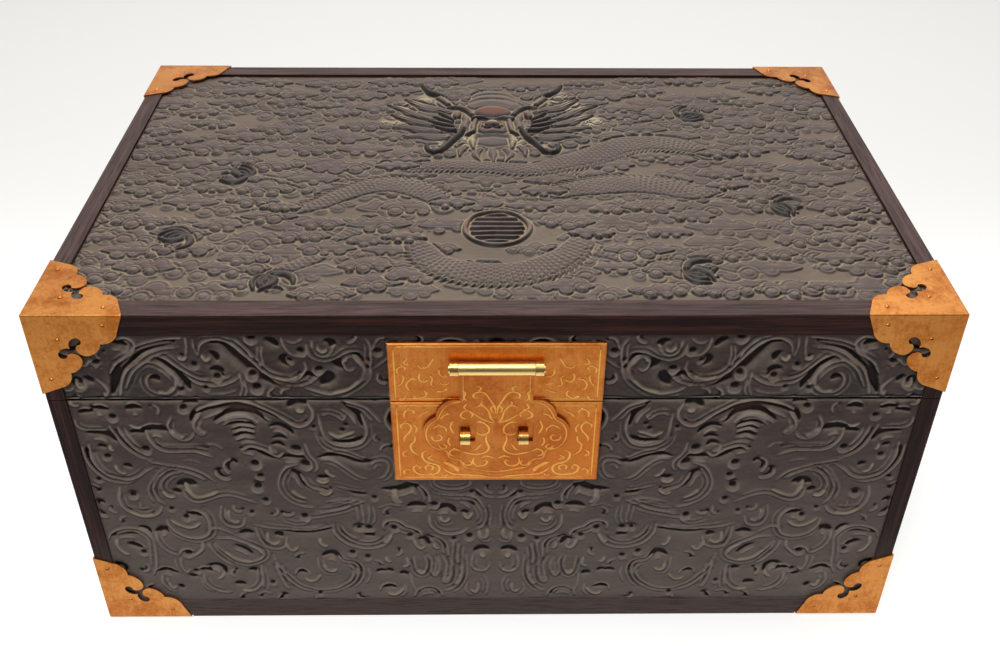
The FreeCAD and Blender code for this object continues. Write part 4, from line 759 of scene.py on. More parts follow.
        (0.8, 130, 19, 126.5, 18.3, 122, 20, 118.5, 24.3, 117, 30, 117, 37),
        (0.5, 115.3, 36, 115, 28, 115.8, 19),
        (0.7, 110.3, 45.5, 109, 39, 106, 33, 103, 28.5, 98.5, 23.2, 92, 20.3, 86, 19.7, 80, 21.2, 75,
         24.7, 72, 29.2, 71, 34, 73.5, 39), (0.8, 109.2, 40, 109, 33, 108, 26, 106, 21, 104, 20.4),
        (0.7, 107, 31, 104, 26, 99.5, 21, 93, 18), (0.7, 101, 30.5, 99.6, 34, 97, 35, 94.3, 33.5, 93, 30.5),
        (0.6, 88.3, 43, 87.7, 36, 85.3, 31.5, 81, 30.5),
        (0.6, 78.3, 47.5, 75, 42.5, 70, 41, 67, 37, 66.5, 31, 69, 25, 72.3, 20.5),
        (0.6, 69.5, 35, 70, 29, 73, 23.5, 77, 20), (0.6, 64, 35.5, 63.3, 30, 66, 24),
        (0.8, 79, 66.5, 78, 60, 74, 54, 68, 51, 61, 50, 54.5, 52.5, 51.5, 57, 50.3, 61),
        (0.6, 77, 66.3, 75.5, 60, 72, 56, 67, 53, 61, 52.4, 56, 54.6, 53, 58.5),
        (0.6, 75, 65.5, 73, 60.5, 70, 57.8, 66.3, 57.3),
        (0.9, 54.6, 63, 54.2, 67.5, 50.5, 69.4, 46.5, 68.4, 43.5, 65.6, 40.5, 64.4, 37.5, 62, 36.4, 58),
        (0.7, 32.8, 58.7, 27.5, 57.2, 24, 53, 23.4, 48, 23, 42),
        (0.6, 20.5, 55, 20.8, 48, 21.5, 42, 21, 36), (0.6, 17.5, 53, 18.3, 46, 18.3, 38),
        (0.7, 40.6, 44, 40, 37, 39.2, 32.5, 37, 30.3, 35.2, 33, 34.2, 38, 35.2, 44),
        (0.7, 33.8, 45, 31.7, 40, 32.2, 33, 30.6, 29.3, 28.6, 31.5, 27.6, 37, 28.6, 43),
        (0.7, 26.7, 44, 24.2, 38, 25.2, 30, 26.2, 25.3, 23.7, 25.2, 22.2, 30, 22.2, 37),
        (0.8, 16.7, 37, 17, 29, 19.5, 22.7, 23, 19.6, 26.5, 18),
        (0.6, 14.5, 45, 13.9, 36, 14.6, 28, 18, 20.5, 22, 17),
        (0.7, 58.7, 18, 57.3, 22.3, 53, 23.6, 49.7, 21.3), (0.7, 45.7, 23, 45.5, 18, 48, 14),
        (0.7, 41.3, 14, 39.7, 19, 36, 21, 31, 20.6, 28, 17.5, 27, 13.5),
        (0.5, 38, 14, 36.5, 16.8, 33.5, 17.3, 31.5, 15), (0.6, 42.5, 31, 42, 24, 40.5, 18),
        (0.7, 11.2, 45, 11.7, 38, 10, 34.2, 6.6, 33, 3.5, 34.5, 2.4, 39), (0.6, 14, 25, 15, 19, 12, 14),
        (0.6, 5.5, 30, 3.6, 24, 4.5, 15), (0.6, 8.8, 61, 7.5, 56, 4, 54.3, 1.8, 56.5),
        (0.5, 6.3, 71, 5.6, 64), (0.5, 2.7, 71, 2.4, 63),
        (0.9, 32.2, 73, 31.6, 66, 28, 61.5, 22.5, 59.8, 17, 61, 13.5, 64),
        (0.6, 28.3, 72, 27, 67.5, 24, 66, 20.5, 67.5), (0.8, 37, 93.4, 33.5, 90.4, 31.7, 86, 31.7, 81),
        (0.8, 48.8, 88, 48.6, 83, 45.5, 79.8),
        (0.7, 29.2, 98, 28.6, 93.3, 24, 90.7, 18, 90.4, 13, 92.6, 11.8, 97.5),
        (0.5, 31, 97, 30, 92, 25, 88.9, 18, 88.5, 11.5, 91),
        (0.7, 30, 88.3, 22, 87, 15, 86.2, 9, 84, 5.4, 78, 4.4, 71, 6.5, 65, 11.5, 61.8),
        (0.5, 9.5, 81.5, 6.8, 77, 6, 71, 8, 66.5), (0.8, 10.3, 90.5, 6, 86.2, 0, 84.7),
        (0.5, 3.2, 80, 2.2, 72, 3, 65),
        (0.9, 80.2, 137, 79.6, 130, 78, 123.5, 74, 119.4, 68.5, 118, 63, 119.8, 60, 124.5, 59.3, 130, 61,
         136.5), (0.7, 79, 136, 76, 137.7, 72, 136.5, 69.5, 134, 67.7, 137),
        (0.7, 69, 145.5, 60, 142.2, 55.5, 137, 52, 132.5),
        (0.6, 83, 127, 80.3, 119.3, 75, 114.3, 68, 111.7, 61, 108),
        (0.6, 104, 118, 103.3, 112.6, 100, 111, 97.8, 113.5),
        (0.7, 88.2, 120, 86.7, 113, 84, 108.7, 83.5, 104, 85.5, 101.5),
        (0.8, 91.5, 106.8, 97, 105, 101, 100, 102.6, 94, 101.6, 88, 98, 83, 92, 79.6, 86, 78.5),
        (0.6, 96, 102.5, 99.4, 98.5, 100.6, 94, 99.3, 88.3, 96, 84, 90, 81),
        (0.8, 92, 99, 90, 95.5, 88.5, 93, 86, 91.5, 82, 90, 78.5, 88),
        (0.7, 83, 110, 76, 109.3, 70, 104.7, 65, 99, 60, 96.8),
        (0.7, 58.5, 105.5, 55.5, 109, 51.5, 109.2, 49.8, 105.5, 52, 99.5, 56.5, 97.3),
        (0.5, 57, 103, 55.5, 106.5, 53, 106), (0.5, 77, 95.3, 72, 94.2, 68, 92.3, 63, 91),
        (0.6, 82, 82, 74, 84.3, 68, 83.7, 62, 82), (0.6, 88, 75, 77, 77, 68, 80.3, 61.5, 83.5),
        (0.6, 91, 70.5, 80, 73, 72, 75.3, 66, 78.3), (0.6, 64.5, 81, 64, 73, 64, 66.5),
        (0.6, 61, 80, 61, 73, 62.3, 66.5), (0.6, 59, 79, 58.5, 72, 59.5, 67),
        (0.6, 104, 69, 97, 66.5, 92, 68, 89.3, 71.5),
        (0.7, 118, 66.5, 110, 64.5, 104, 63.3, 95, 62.3, 86, 63.3, 78.5, 65.5),
        (0.6, 57, 78, 51, 80.5, 45, 79.5),
    ],
    "glint": [
        (1.0, 147.3, 128.5, 145.7, 125, 142.5, 124.2), (0.9, 135, 130.5, 134, 127.5, 132.2, 127.5),
        (0.8, 165.8, 131.5, 162.5, 129.5, 160.5, 130.3), (1.1, 157.6, 89.5, 155.8, 86.3, 152.8, 85.7),
        (1.1, 146.5, 92.5, 143.5, 87.3, 140.5, 86.1, 136.5, 87.3, 132, 89.7),
        (0.8, 177, 106.5, 175.7, 102.2, 172.8, 101.4), (0.9, 177.2, 118.5, 177.2, 116, 175.8, 115.8),
        (0.8, 175.3, 76.3, 170.5, 73.9, 165.3, 74.3),
        (1.0, 157, 70.3, 153.5, 67.1, 149.5, 65.4, 146, 65.9, 143, 68.3),
        (1.2, 185.7, 57, 186.2, 52, 184.2, 47.8, 181.6, 46),
        (0.8, 149.8, 45, 147, 47.7, 144.6, 51, 144.2, 55), (0.7, 134, 48, 130, 43.8, 126, 41.8, 122, 41.2),
        (0.8, 122, 52.5, 117.5, 49.5, 115.8, 46), (0.9, 128.5, 76.5, 128.6, 71.7, 126.5, 69.3, 124.3, 70),
        (0.9, 111.6, 60.5, 111.6, 55.6, 109, 53.9, 106.3, 55), (0.9, 165.6, 25.5, 164.3, 21.6, 161.6, 22),
        (0.8, 137, 32, 138, 29.5, 140.3, 28.2), (0.7, 128.5, 19.2, 124, 19.7),
        (1.0, 103.5, 54, 102, 50.3, 100, 48.8, 97.8, 51), (0.9, 96, 28, 93, 26.6, 90, 28, 88.3, 30.8),
        (1.0, 85.7, 38.5, 84.7, 34.7, 82.3, 33.5, 80.3, 35), (0.9, 86.3, 57, 85.5, 53, 82.8, 51.3),
        (0.8, 55, 53.8, 52.3, 57, 51, 60), (0.9, 54.6, 43.3, 54.2, 40.6, 52, 40.4),
        (0.9, 44.2, 43, 43.6, 38.5, 46.3, 36.2), (1.0, 38.8, 34, 37.2, 31.3, 35.6, 33.3),
        (1.0, 31.8, 32, 30.5, 30, 29, 33), (1.0, 25.6, 29, 25, 26.2, 23.2, 29),
        (0.9, 17.3, 31, 18, 27, 20.5, 23.5), (0.9, 40, 56, 39, 52, 36.6, 49.7, 34.6, 51),
        (0.8, 30.2, 53, 29.6, 50.2, 27.6, 49.6), (1.0, 54.8, 16.6, 52, 15.4, 49, 17, 46.8, 20.3),
        (0.9, 12.2, 19, 10, 17.4, 8.6, 20, 8.5, 24), (0.9, 10.6, 34.8, 7, 33.6, 3.8, 34.8),
        (0.8, 7.2, 45.5, 6.3, 43, 5.3, 45), (1.1, 8, 62, 7.5, 59, 5.6, 57.4, 4.1, 59.4, 4, 63),
        (0.9, 26.7, 72, 26.1, 69.6, 24, 68.9, 22.3, 71), (0.9, 47.6, 88, 47.1, 83.6, 44.8, 81.5),
        (1.0, 15.2, 73, 13, 71, 11.2, 74.8), (0.9, 89.8, 140, 88, 138.7, 86.5, 140),
        (0.8, 76.3, 126.6, 72, 124.4, 68, 125.8, 64.8, 127), (0.9, 84.2, 96.6, 81.5, 95, 78.3, 96),
        (0.9, 83.6, 89, 80.6, 87.4, 77.8, 89.8), (0.8, 96.5, 90, 94, 87, 90, 84),
        (0.8, 79.6, 103.3, 78, 100.2, 75, 98.7),
    ],
    "eye": [
        (2.8, 140, 140.2), (2.6, 172.3, 135.3), (3.0, 161.3, 115.6), (2.4, 179.6, 111.2), (2.1, 186.3, 97),
        (3.3, 112, 106), (2.6, 110.5, 98.6), (3.3, 112.7, 91.6), (2.6, 110, 82.6), (2.7, 172.3, 86.3),
        (2.4, 174.4, 47), (3.2, 152.2, 46.3), (2.4, 149.3, 71), (3.0, 62, 63), (2.2, 66.6, 63.2),
        (2.6, 49.5, 63.2), (2.4, 42, 58), (2.7, 13, 57.3), (3.2, 29.6, 79), (3.7, 92.5, 115.3),
        (3.6, 89, 106), (1.8, 83, 129.2), (2.2, 58, 84.4), (2.8, 92.6, 71.6), (2.4, 63.6, 43),
        (2.6, 71, 46.2), (2.2, 89.3, 15.8), (2.0, 113, 24.5), (2.4, 150.4, 32.3), (2.0, 20.5, 56),
        (2.0, 12, 87.3), (1.9, 117.5, 74.5), (1.9, 155.6, 77),
    ],
}
frontWork = {"lid": lidWork, "base": baseWork}


panelLook = {
    "ground": -0.78,  # the smooth face of the walls below the frame, in mm
    "rim": 1.0,  # rise of the rims
    "gouge": 1.5,  # depth of the cuts
    "swell": 1.5,  # how far the face follows the work nearby
    "lean": 0.45,
    "jointGap": 0.35,  # left between a board and the middle of the joint
    "low": 12.0,  # lower edge of the base panels and upper edge of the lid panels
    "high": 182.3,
    "depths": (6.0, 10.0),  # of the lap and of the whole board
}


def frontCarving(low, high, shift, work, seed, pitch):
    # Left half of a wall: cuts, rims, volute eyes and glint lines with a painted highlight in turn, then
    # curls in what is still bare
    field = Carving(low, high, pitch)
    rng = np.random.default_rng(seed)

    def path(points):
        pairs = np.asarray(points, float).reshape(-1, 2)
        return curve(np.column_stack([shift - pairs[:, 0], pairs[:, 1]]), 0.9)

    def ends(line):
        return np.interp(np.linspace(0, 1, len(line)), (0, 0.12, 0.88, 1), (0.45, 1, 1, 0.45))

    def beside(line, gap):  # the middle part of the line, set off to its hollow side by the gap
        way = np.gradient(line, axis=0)
        way /= np.hypot(*way.T)[:, None]
        hollow = np.sign(way[0, 0] * way[-1, 1] - way[0, 1] * way[-1, 0])
        left = np.column_stack([-way[:, 1], way[:, 0]]) * hollow
        cut = max(1, len(line) // 8)
        return (line + left * gap)[cut:-cut]

    for half, *points in work["gouge"]:
        line = path(points)
        if len(line) > 8:
            inner = beside(line, half * 1.6 + 0.9)
            field.rim(inner, 0.6 * ends(inner), panelLook["rim"] * 0.6)
        field.gouge(line, half * 1.6, panelLook["gouge"] * min(1.0, 0.6 + half / 3.0), 0.4)
    for half, *points in work["rim"]:
        line = path(points)
        if len(line) > 16:
            inner = beside(line, half + 1.7)
            field.rim(inner, 0.55 * ends(inner), panelLook["rim"] * 0.6)
        field.rim(line, half * 0.8 * ends(line), panelLook["rim"] * min(1.0, 0.4 + half * 0.75))
    for r, x, z in work["eye"]:
        field.eye(shift - x, z, 0.88 * r, 0.7 * panelLook["rim"], rng.uniform(-2.4, -0.7))
    # glints: low rims marked for a painted highlight
    for half, *points in work["glint"]:
        line = path(points)
        field.rim(line, half * 0.85 * ends(line), panelLook["rim"], 0.45)
    field.commas(rng, (10.0, 7.5, 5.5, 4.2, 3.4), 500)
    # the face rises towards the rims and sinks towards the cuts, so that it is dished between them
    for lines, rise in ((field.h > 0.12, panelLook["swell"]), (field.h < -0.3, -panelLook["swell"])):
        lines = lines.astype(float)
        near = 0.5 * blurred(lines, 1.3 / pitch) + 0.5 * blurred(lines, 3.5 / pitch)
        field.h += rise * (near - near.mean())
    field.h += 0.14 * roughCloth(field.h.shape, int(9 / pitch), rng)
    field.h = leaned(field.h, pitch, panelLook["lean"])
    field.h = np.clip(field.h, -panelLook["gouge"] - 0.4, panelLook["rim"])
    return field


def whole(half):  # the left half and its mirror image, as one field
    full = Carving(half.low, (-half.low[0], half.high[1]), half.pitch)
    full.u = np.concatenate([half.u, -half.u[-2::-1]])
    for key in ("h", "blush", "ink", "tan"):
        values = getattr(half, key)
        setattr(full, key, np.concatenate([values, values[:, -2::-1]], 1))
    return full


def faded(h, carving, left, right, low, high):  # lowers the work towards the edges, over the given widths
    for x, ends, widths in ((carving.u[None, :], (carving.u[0], carving.u[-1]), (left, right)),
                            (carving.v[:, None], (carving.v[0], carving.v[-1]), (low, high))):
        for end, width in zip(ends, widths):
            h = h * (0.25 + 0.75 * smooth(np.abs(x - end), 0.0, width))
    return h


def mountCovers(half, low, high, rise):  # rough cover of the brass corners over a panel
    reach, strips = 41.8, 14
    spans = []
    for k in range(strips):
        a = k / strips * reach
        b = max(0.0, (reach - a) * 0.75 + 1.5)
        for sign in (-1, 1):
            u0, u1 = sorted((sign * (half - a), sign * (half - a - reach / strips)))
            spans.append((u0, u1, low, low + b) if rise > 0 else (u0, u1, high - b, high))
    return spans


def carvePair(face, half, shift, pitch, finish, covers, tiles, seed):
    # A base panel and the lid panel above it, both from the same lines, mirrored about the middle
    gap, ground = panelLook["jointGap"], panelLook["ground"]
    for part, low, high in (("base", panelLook["low"], jointHeight - gap),
                            ("lid", jointHeight + gap, panelLook["high"])):
        isBase = part == "base"
        field = whole(frontCarving((-half, low), (0.0, high), shift, frontWork[part], seed, pitch))
        rng = np.random.default_rng(seed + len(part))
        h = np.minimum(handCut(field.h, pitch, 0.36, rng), -ground - 0.05)
        # worn, wavering edge at the joint
        worn = np.clip(1.0 + 0.4 * roughCloth(h.shape, int(7 / pitch), rng), 0.3, 1.6)
        h = h - 1.4 * np.exp(-(np.abs(field.v - jointHeight)[:, None] / worn) ** 2)
        h = faded(h, field, 1.2, 1.2, *((1.2, 0.3) if isBase else (0.3, 1.2)))
        span = (0.0, jointHeight, 1) if isBase else (jointHeight, boxTop, -1)
        h = held(h, field, covers + mountCovers(half + 8.5, *span), -ground - 0.03)
        node = f"{part}_{face}_panel"
        step = (3.5, 3.5 if isBase else 0.05, 0.05)
        carve(node, part, face, field, h, ground, (-1.0, 0.2), 1.0, tiles if isBase else 1, step,
              panelLook["depths"], finish)
        print("carved", node)


wallPlans = {
    "front": {"half": 190.8, "shift": 0.0, "pitch": 0.45, "finish": "carvedFront", "tiles": 4, "seed": 11,
              "covers": [(-48.0, 48.0, 97.8, 179.6)]},  # under the lock plates
    "back": {"half": 190.8, "shift": 0.0, "pitch": 1.0, "finish": "carvedFront", "tiles": 1, "seed": 12,
             "covers": [(-129.0, -81.0, 109, 175), (81.0, 129.0, 109, 175)]},  # under the hinges
    "right": {"half": 119.5, "shift": 71.3, "pitch": 1.0, "finish": "carvedSide", "tiles": 1, "seed": 13,
              "covers": []},
    "left": {"half": 119.5, "shift": 71.3, "pitch": 1.0, "finish": "carvedSide", "tiles": 1, "seed": 14,
             "covers": []},
}
for face, plan in wallPlans.items():
    carvePair(face, **plan)


# Top: a dragon among clouds; steps of 1/4 mm, and of 1/12 mm for the head
topMap = (4.0, -200.0, 128.3)
headMap = (12.0, -65.0, 110.8)
headMiddle = 771


def cloud(field, u, v, size, level, rng):
    # Patch of cloud: a flat band and lobes, falling to the ground over 0.5 mm above and 1.1 mm below; a
    # groove follows its edge, and on the lower lobes stand discs with a ring cut in and a middle button
    count = int(rng.integers(2, 5))
    x = (np.arange(count) - (count - 1) / 2) * rng.uniform(6.2, 7.4) + rng.uniform(-1.0, 1.0, count)
    y = -1.4 + 0.03 * x ** 2 + rng.uniform(-1.2, 1.2, count)
    discs = np.column_stack([x, y, rng.uniform(2.6, 3.8, count)])
    back = np.array([(-6.5, 3.4, 3.8), (0.0, 4.4, 4.4), (6.4, 3.6, 3.9)]) + rng.uniform(-0.8, 0.8, (3, 3))
    rows, cols = field.window(u - 18 * size, u + 18 * size, v - 8 * size, v + 12 * size)
    du, dv = (d / size for d in field.away(rows, cols, u, v))
    if min(du.size, dv.size) < 2:
        return
    thick = 3.2 * (1.0 - 0.7 * smooth(np.abs(du), 7.0, 15.0))
    edge = np.hypot(np.maximum(np.abs(du) - 12.0, 0.0), dv - 2.4) - thick
    for a, b, r in np.vstack([discs, back]):
        edge = np.minimum(edge, np.hypot(du - a, dv - b) - r)
    slope = 1.1 - 0.6 * smooth(dv, -1.0, 3.0)
    side = 1.0 - smooth((edge + slope) / slope, 0.0, 1.05)
    groove = 0.4 * np.exp(-((edge + 1.6) / 0.4) ** 2)
    value = level * side * (0.92 + 0.1 * smooth(-edge, 0.4, 4.0)) - groove
    for a, b, r in discs[rng.random(count) < rng.choice((0.3, 0.7, 1.0))]:
        ring = np.hypot(du - a, dv - b) / r
        disc = (level + 0.25 - 0.75 * np.exp(-((ring - 0.62) / 0.15) ** 2)) * side
        value = np.where(ring < 1.0, disc, value - 0.6 * np.exp(-((ring - 1.1) / 0.12) ** 2))
    field.lay(rows, cols, 1.0 + edge, edge * size, value, 1.0, 0.0)


def claw(field, u, v, heading, size, top):  # five thick hooked talons spreading from one root, in painted black shade
    for spread in (-1.5, -0.75, 0.0, 0.75, 2.6):
        a = heading + spread * 0.62
        tip = a + 0.6 * (1 if spread < 0.1 else -1)
        way = np.array([(0.3, a), (1.2, a), (2.0, 0.5 * (a + tip)), (2.7, tip)])
        toes = np.column_stack([np.cos(way[:, 1]), np.sin(way[:, 1])]) * way[:, :1]
        path = curve(toes * size + (u, v), 0.7)
        half = np.interp(np.linspace(0, 1, len(path)), (0, 0.5, 1), (0.34, 0.42, 0.12)) * size
        field.stroke(path, half, top, "cord", 1.3, 0.7)


def serpent(field, points, halves, top, comb):  # scaled body with a row of spines along one side
    path = curve(traced(points, *topMap), 1.0)
    half = np.interp(np.linspace(0, 1, len(path)), np.linspace(0, 1, len(halves)), halves)
    field.stroke(path, half, top, "scale", 1.2)
    if comb:
        way = np.gradient(path, axis=0)
        way /= np.hypot(*way.T)[:, None]
        side = np.column_stack([-way[:, 1], way[:, 0]]) * comb
        for i in range(3, len(path) - 3, 3):
            root = path[i] + side[i] * half[i] * 0.82
            bend = root + side[i] * 1.6 - way[i] * 0.9
            tip = root + side[i] * 2.6 - way[i] * 2.4
            spine = curve([root, bend, tip], 0.6)
            field.stroke(spine, np.linspace(0.95, 0.15, len(spine)), top * 0.85, "cord", 0.4)


topLook = {
    "half": (190.3, 117.0),
    "pitch": 0.45,
    "ground": -1.8,  # the carved ground below the frame, in mm
    "gapX": 29.0,
    "gapY": 14.2,
    "rows": 16,
    "columns": 14,
    "seed": 5,
    "roundel": (803, 735),
    "roundelRadius": 16.9,
    "barGap": 4.1,
    "clearing": (0.8, -55.4, 22.0),  # no cloud starts in this circle
    "overlaps": ((-104, -37), (-21, -33), (25, -21), (-50, 5),  # clouds over the ends of coils
                 (118, 19), (-42, -64), (45, -61), (117, -15)),
    # body coils, back to front: points, half widths, height, side of the comb
    "coils": (
        ((400, 670, 450, 650, 510, 600, 570, 570, 630, 580, 680, 620, 700, 660),
         (4.0, 6.0, 7.5, 7.5, 6.0), 1.7, 1),
        ((920, 600, 980, 580, 1060, 565, 1140, 575, 1200, 600, 1250, 580),
         (6.0, 9.0, 9.5, 8.5, 4.5), 1.8, 1),
        ((620, 500, 700, 490, 790, 495, 880, 505, 960, 470, 1020, 440, 1080, 400, 1150, 390, 1220, 410,
          1250, 440), (5.0, 6.2, 6.4, 7.0, 9.5, 10.0, 9.0, 6.0), 1.8, -1),
        ((655, 800, 690, 860, 750, 890, 805, 896, 870, 882, 925, 840, 958, 790),
         (6.5, 9.0, 9.6, 9.6, 9.0, 6.5), 1.9, -1)),
    # legs: points and half width
    "legs": (
        ((1030, 430, 1060, 380, 1090, 310, 1100, 280, 1170, 262), 3.6),
        ((1250, 580, 1290, 565, 1320, 600, 1350, 640), 3.4),
        ((960, 800, 1020, 830, 1080, 860, 1140, 880), 3.6),
        ((400, 670, 340, 690, 280, 730, 225, 760), 3.6),
        ((560, 700, 510, 780, 470, 840, 400, 890), 3.6),
        ((520, 590, 440, 570, 370, 560, 300, 540), 3.6)),
    # feet: place, heading and size
    "feet": ((1215, 258, 0.1, 5.2), (1350, 640, -0.9, 5.0), (1140, 880, -0.5, 5.4),
             (225, 760, 3.5, 5.0), (400, 890, -1.7, 5.2), (300, 540, 2.3, 5.2)),
}


def carveTop():
    # Coils, feet, roundel and head first, then two layers of cloud round them and a few over them
    pitch, (right, up) = topLook["pitch"], topLook["half"]
    field = Carving((-right, -up), (right, up), pitch)
    rng = np.random.default_rng(topLook["seed"])
    for coil in topLook["coils"]:
        serpent(field, *coil)
    for x, y, heading, size in topLook["feet"]:
        (u, v), = traced((x, y), *topMap)
        claw(field, u, v, heading, size, 1.9)
    # roundel of plain bars
    (cu, cv), = traced(topLook["roundel"], *topMap)
    radius = topLook["roundelRadius"]
    rows, cols = field.window(cu - 19, cu + 19, cv - 19, cv + 19)
    du, dv = field.away(rows, cols, cu, cv)
    r = np.hypot(du, dv)
    field.blush[rows, cols] = 0.5 * (1 - smooth(r, 13.5, radius))
    ring = smooth(r, 13.6, 14.8) * (1 - smooth(r, 15.9, radius))
    bars = smooth(np.cos(dv * 2 * math.pi / topLook["barGap"]), -0.1, 0.35) * (1 - smooth(r, 12.6, 13.2))
    field.lay(rows, cols, r / radius, r - radius, 1.75 * np.maximum(ring, bars), 2.5, 0.0)
    carveHead(field)
    # clouds where the dragon leaves room, each row over the one in front, then some over the coils' ends
    sky = Carving(field.low, field.high, pitch)
    rows, columns = topLook["rows"], topLook["columns"]
    for level, small, large, share in ((1.0, 1.0, 1.5, 1.0), (1.5, 0.75, 1.3, 0.8)):
        row, column = np.divmod(np.arange(rows * (columns + 1)), columns + 1)
        u = (column - columns / 2 + 0.25 + (row + (level < 1.2)) % 2 * 0.5) * topLook["gapX"]
        u = u + rng.uniform(-7, 7, row.size)
        v = (row - rows / 2 + 0.5) * topLook["gapY"] + rng.uniform(-5, 5, row.size) - 2.0
        clearU, clearV, clearR = topLook["clearing"]
        clear = np.hypot(u - clearU, v + 9.0 - clearV) > clearR
        for k in np.argsort(v):
            if clear[k] and rng.random() < share:
                cloud(sky, u[k], v[k], rng.uniform(small, large), level, rng)
        if level < 1.2:
            for leg, wide in topLook["legs"]:
                path = curve(traced(leg, *topMap))
                sky.stroke(path, np.linspace(wide * 1.5, wide, len(path)), 1.6, "scale", 1.2)
    edge = smooth(blurred((field.h > 0.05).astype(float), 0.8 / pitch), 0.02, 0.4)
    field.h = np.maximum(field.h, sky.h * (1.0 - edge))
    for u, v in topLook["overlaps"]:
        cloud(field, u, v - 2.0, rng.uniform(0.75, 0.9), 1.9, rng)
    h = handCut(field.h, pitch, 0.28, rng)
    h = faded(h, field, 1.4, 1.4, 1.4, 1.4)
    covers = [cover for rise in (1, -1) for cover in mountCovers(halfWidth, -halfDepth, halfDepth, rise)]
    h = held(h, field, covers, -topLook["ground"] - 0.03)
    carve("lid_top_panel", "lid", "top", field, h, topLook["ground"], (0.1, 0.8), 0.5, 5,
          (6.0, 4.0, 4.0), (5.5, 9.0), "carvedTop")
    print("carved lid_top_panel")


def carveHead(field):
    # Strokes and bosses laid from the mane forward to the whiskers; most are mirrored about the head's middle
    def line(shape, first, last, top, *points, ink=0.0):
        path = curve(traced(points, *headMap), 0.8)
        half = np.interp(np.linspace(0, 1, len(path)), (0, 0.35, 1), (first * 0.8, first, last))
        field.stroke(path, half, np.linspace(top, top * 0.85, len(path)), shape, 1.5, ink)

    def mirrorLine(shape, first, last, top, *points, ink=0.0):
        line(shape, first, last, top, *points, ink=ink)
        flipped = [2 * headMiddle - p if k % 2 == 0 else p for k, p in enumerate(points)]
        line(shape, first, last, top, *flipped, ink=ink)

    def boss(x, y, *sizes, **looks):
        (u, v), = traced((x, y), *headMap)
        field.dome(u, v, *sizes, **looks)

    # mane locks
    for points in ((400, 640, 330, 620, 250, 560, 170, 470, 60, 400),
                   (460, 500, 400, 470, 330, 450, 250, 380, 180, 310),
                   (400, 700, 300, 690, 200, 620, 100, 550), (430, 800, 330, 790, 230, 750, 120, 740),
                   (480, 430, 440, 370, 420, 300, 380, 230), (470, 880, 380, 880, 290, 860, 200, 880)):
        mirrorLine("lock", 4.4, 1.2, 2.6, *points)
    mirrorLine("lock", 2.6, 0.5, 2.1, 600, 1000, 570, 1060, 560, 1130)
    mirrorLine("lock", 2.4, 0.5, 2.1, 690, 1040, 660, 1110, 690, 1200)
    line("lock", 2.4, 0.5, 2.1, 771, 1040, 771, 1110, 775, 1210)
    # crest of stacked arches
    for k in range(3):
        y = 225 + 70 * k
        wide = 95 + 16 * k
        arch = [(-wide, 40), (-wide * 0.6, 5), (0, -8), (wide * 0.6, 5), (wide, 40)]
        line("leaf", 5.0, 5.0, 1.6 + 0.15 * k, *[p for dx, dy in arch for p in (headMiddle + dx, y + dy)])
    # horns
    # horns; the outer pair in painted black shade
    mirrorLine("cord", 2.4, 2.0, 2.8, 470, 400, 420, 310, 385, 255)
    mirrorLine("cord", 2.1, 0.8, 3.0, 400, 262, 345, 215, 305, 150, 278, 85, ink=0.85)
    # cheeks: combs partly in painted black shade, and swollen pads
    for points in ((500, 640, 455, 580, 415, 530), (500, 690, 440, 640, 385, 595),
                   (510, 740, 430, 700, 355, 655), (530, 790, 460, 780, 400, 740)):
        mirrorLine("cord", 1.7, 1.0, 3.0, *points, ink=0.4)
    mirrorLine("leaf", 3.0, 1.6, 2.5, 600, 820, 590, 720, 600, 640, 560, 520)
    # eyes and brows
    for sign in (-1, 1):
        boss(headMiddle + sign * 236, 555, 2.7, 5.2, 2.9, turn=sign * 0.15, blush=0.7)
    mirrorLine("leaf", 2.2, 0.9, 3.1, 640, 560, 600, 480, 530, 440, 470, 450)
    # muzzle, nose, mouth and jaw; the strokes by the nose and the mouth band in painted black shade
    boss(headMiddle, 725, 10.0, 8.4, 2.5, blush=0.4)
    mirrorLine("cord", 1.8, 0.9, 2.9, 660, 640, 650, 720, 640, 800, 600, 850)
    boss(headMiddle, 690, 4.6, 4.0, 3.2)
    mirrorLine("cord", 1.0, 0.7, 2.9, 722, 742, 742, 752, 756, 745, ink=0.7)
    boss(headMiddle, 925, 9.6, 6.0, 1.7)
    line("cord", 1.9, 1.9, 0.6, 655, 850, 710, 843, 771, 841, 832, 843, 887, 850, ink=0.85)
    mirrorLine("leaf", 2.4, 0.9, 2.4, 650, 860, 640, 930, 650, 1030)
    # brow band and forehead
    line("cord", 1.7, 1.7, 2.9, 640, 610, 700, 596, 771, 590, 842, 596, 902, 610)
    boss(headMiddle, 510, 10.9, 7.2, 3.3, blush=0.9)
    # whiskers, in painted black shade
    mirrorLine("cord", 2.0, 1.4, 3.3, 580, 780, 545, 880, 500, 960, 455, 1055, 410, 1095, 365, 1075,
               350, 1005, ink=0.85)
    # pale patches between the horns, the mane and the jaws: dust with painted light, stronger on slopes that
    # face the lamps
    for x, y, ru, rv in ((320, 300, 5.5, 8.0), (620, 940, 3.6, 8.0), (470, 960, 5.0, 6.0),
                         (771, 690, 2.6, 2.6), (220, 430, 7.0, 5.0), (120, 640, 7.0, 5.0)):
        for u, v in traced((x, y, 2 * headMiddle - x, y), *headMap):
            rows, cols = field.window(u - 2 * ru, u + 2 * ru, v - 2 * rv, v + 2 * rv)
            du, dv = field.away(rows, cols, u, v)
            q = np.hypot(du / ru, dv / rv)
            field.tan[rows, cols] = np.maximum(field.tan[rows, cols], 1.3 * (1.0 - smooth(q, 0.6, 1.5)))


carveTop()


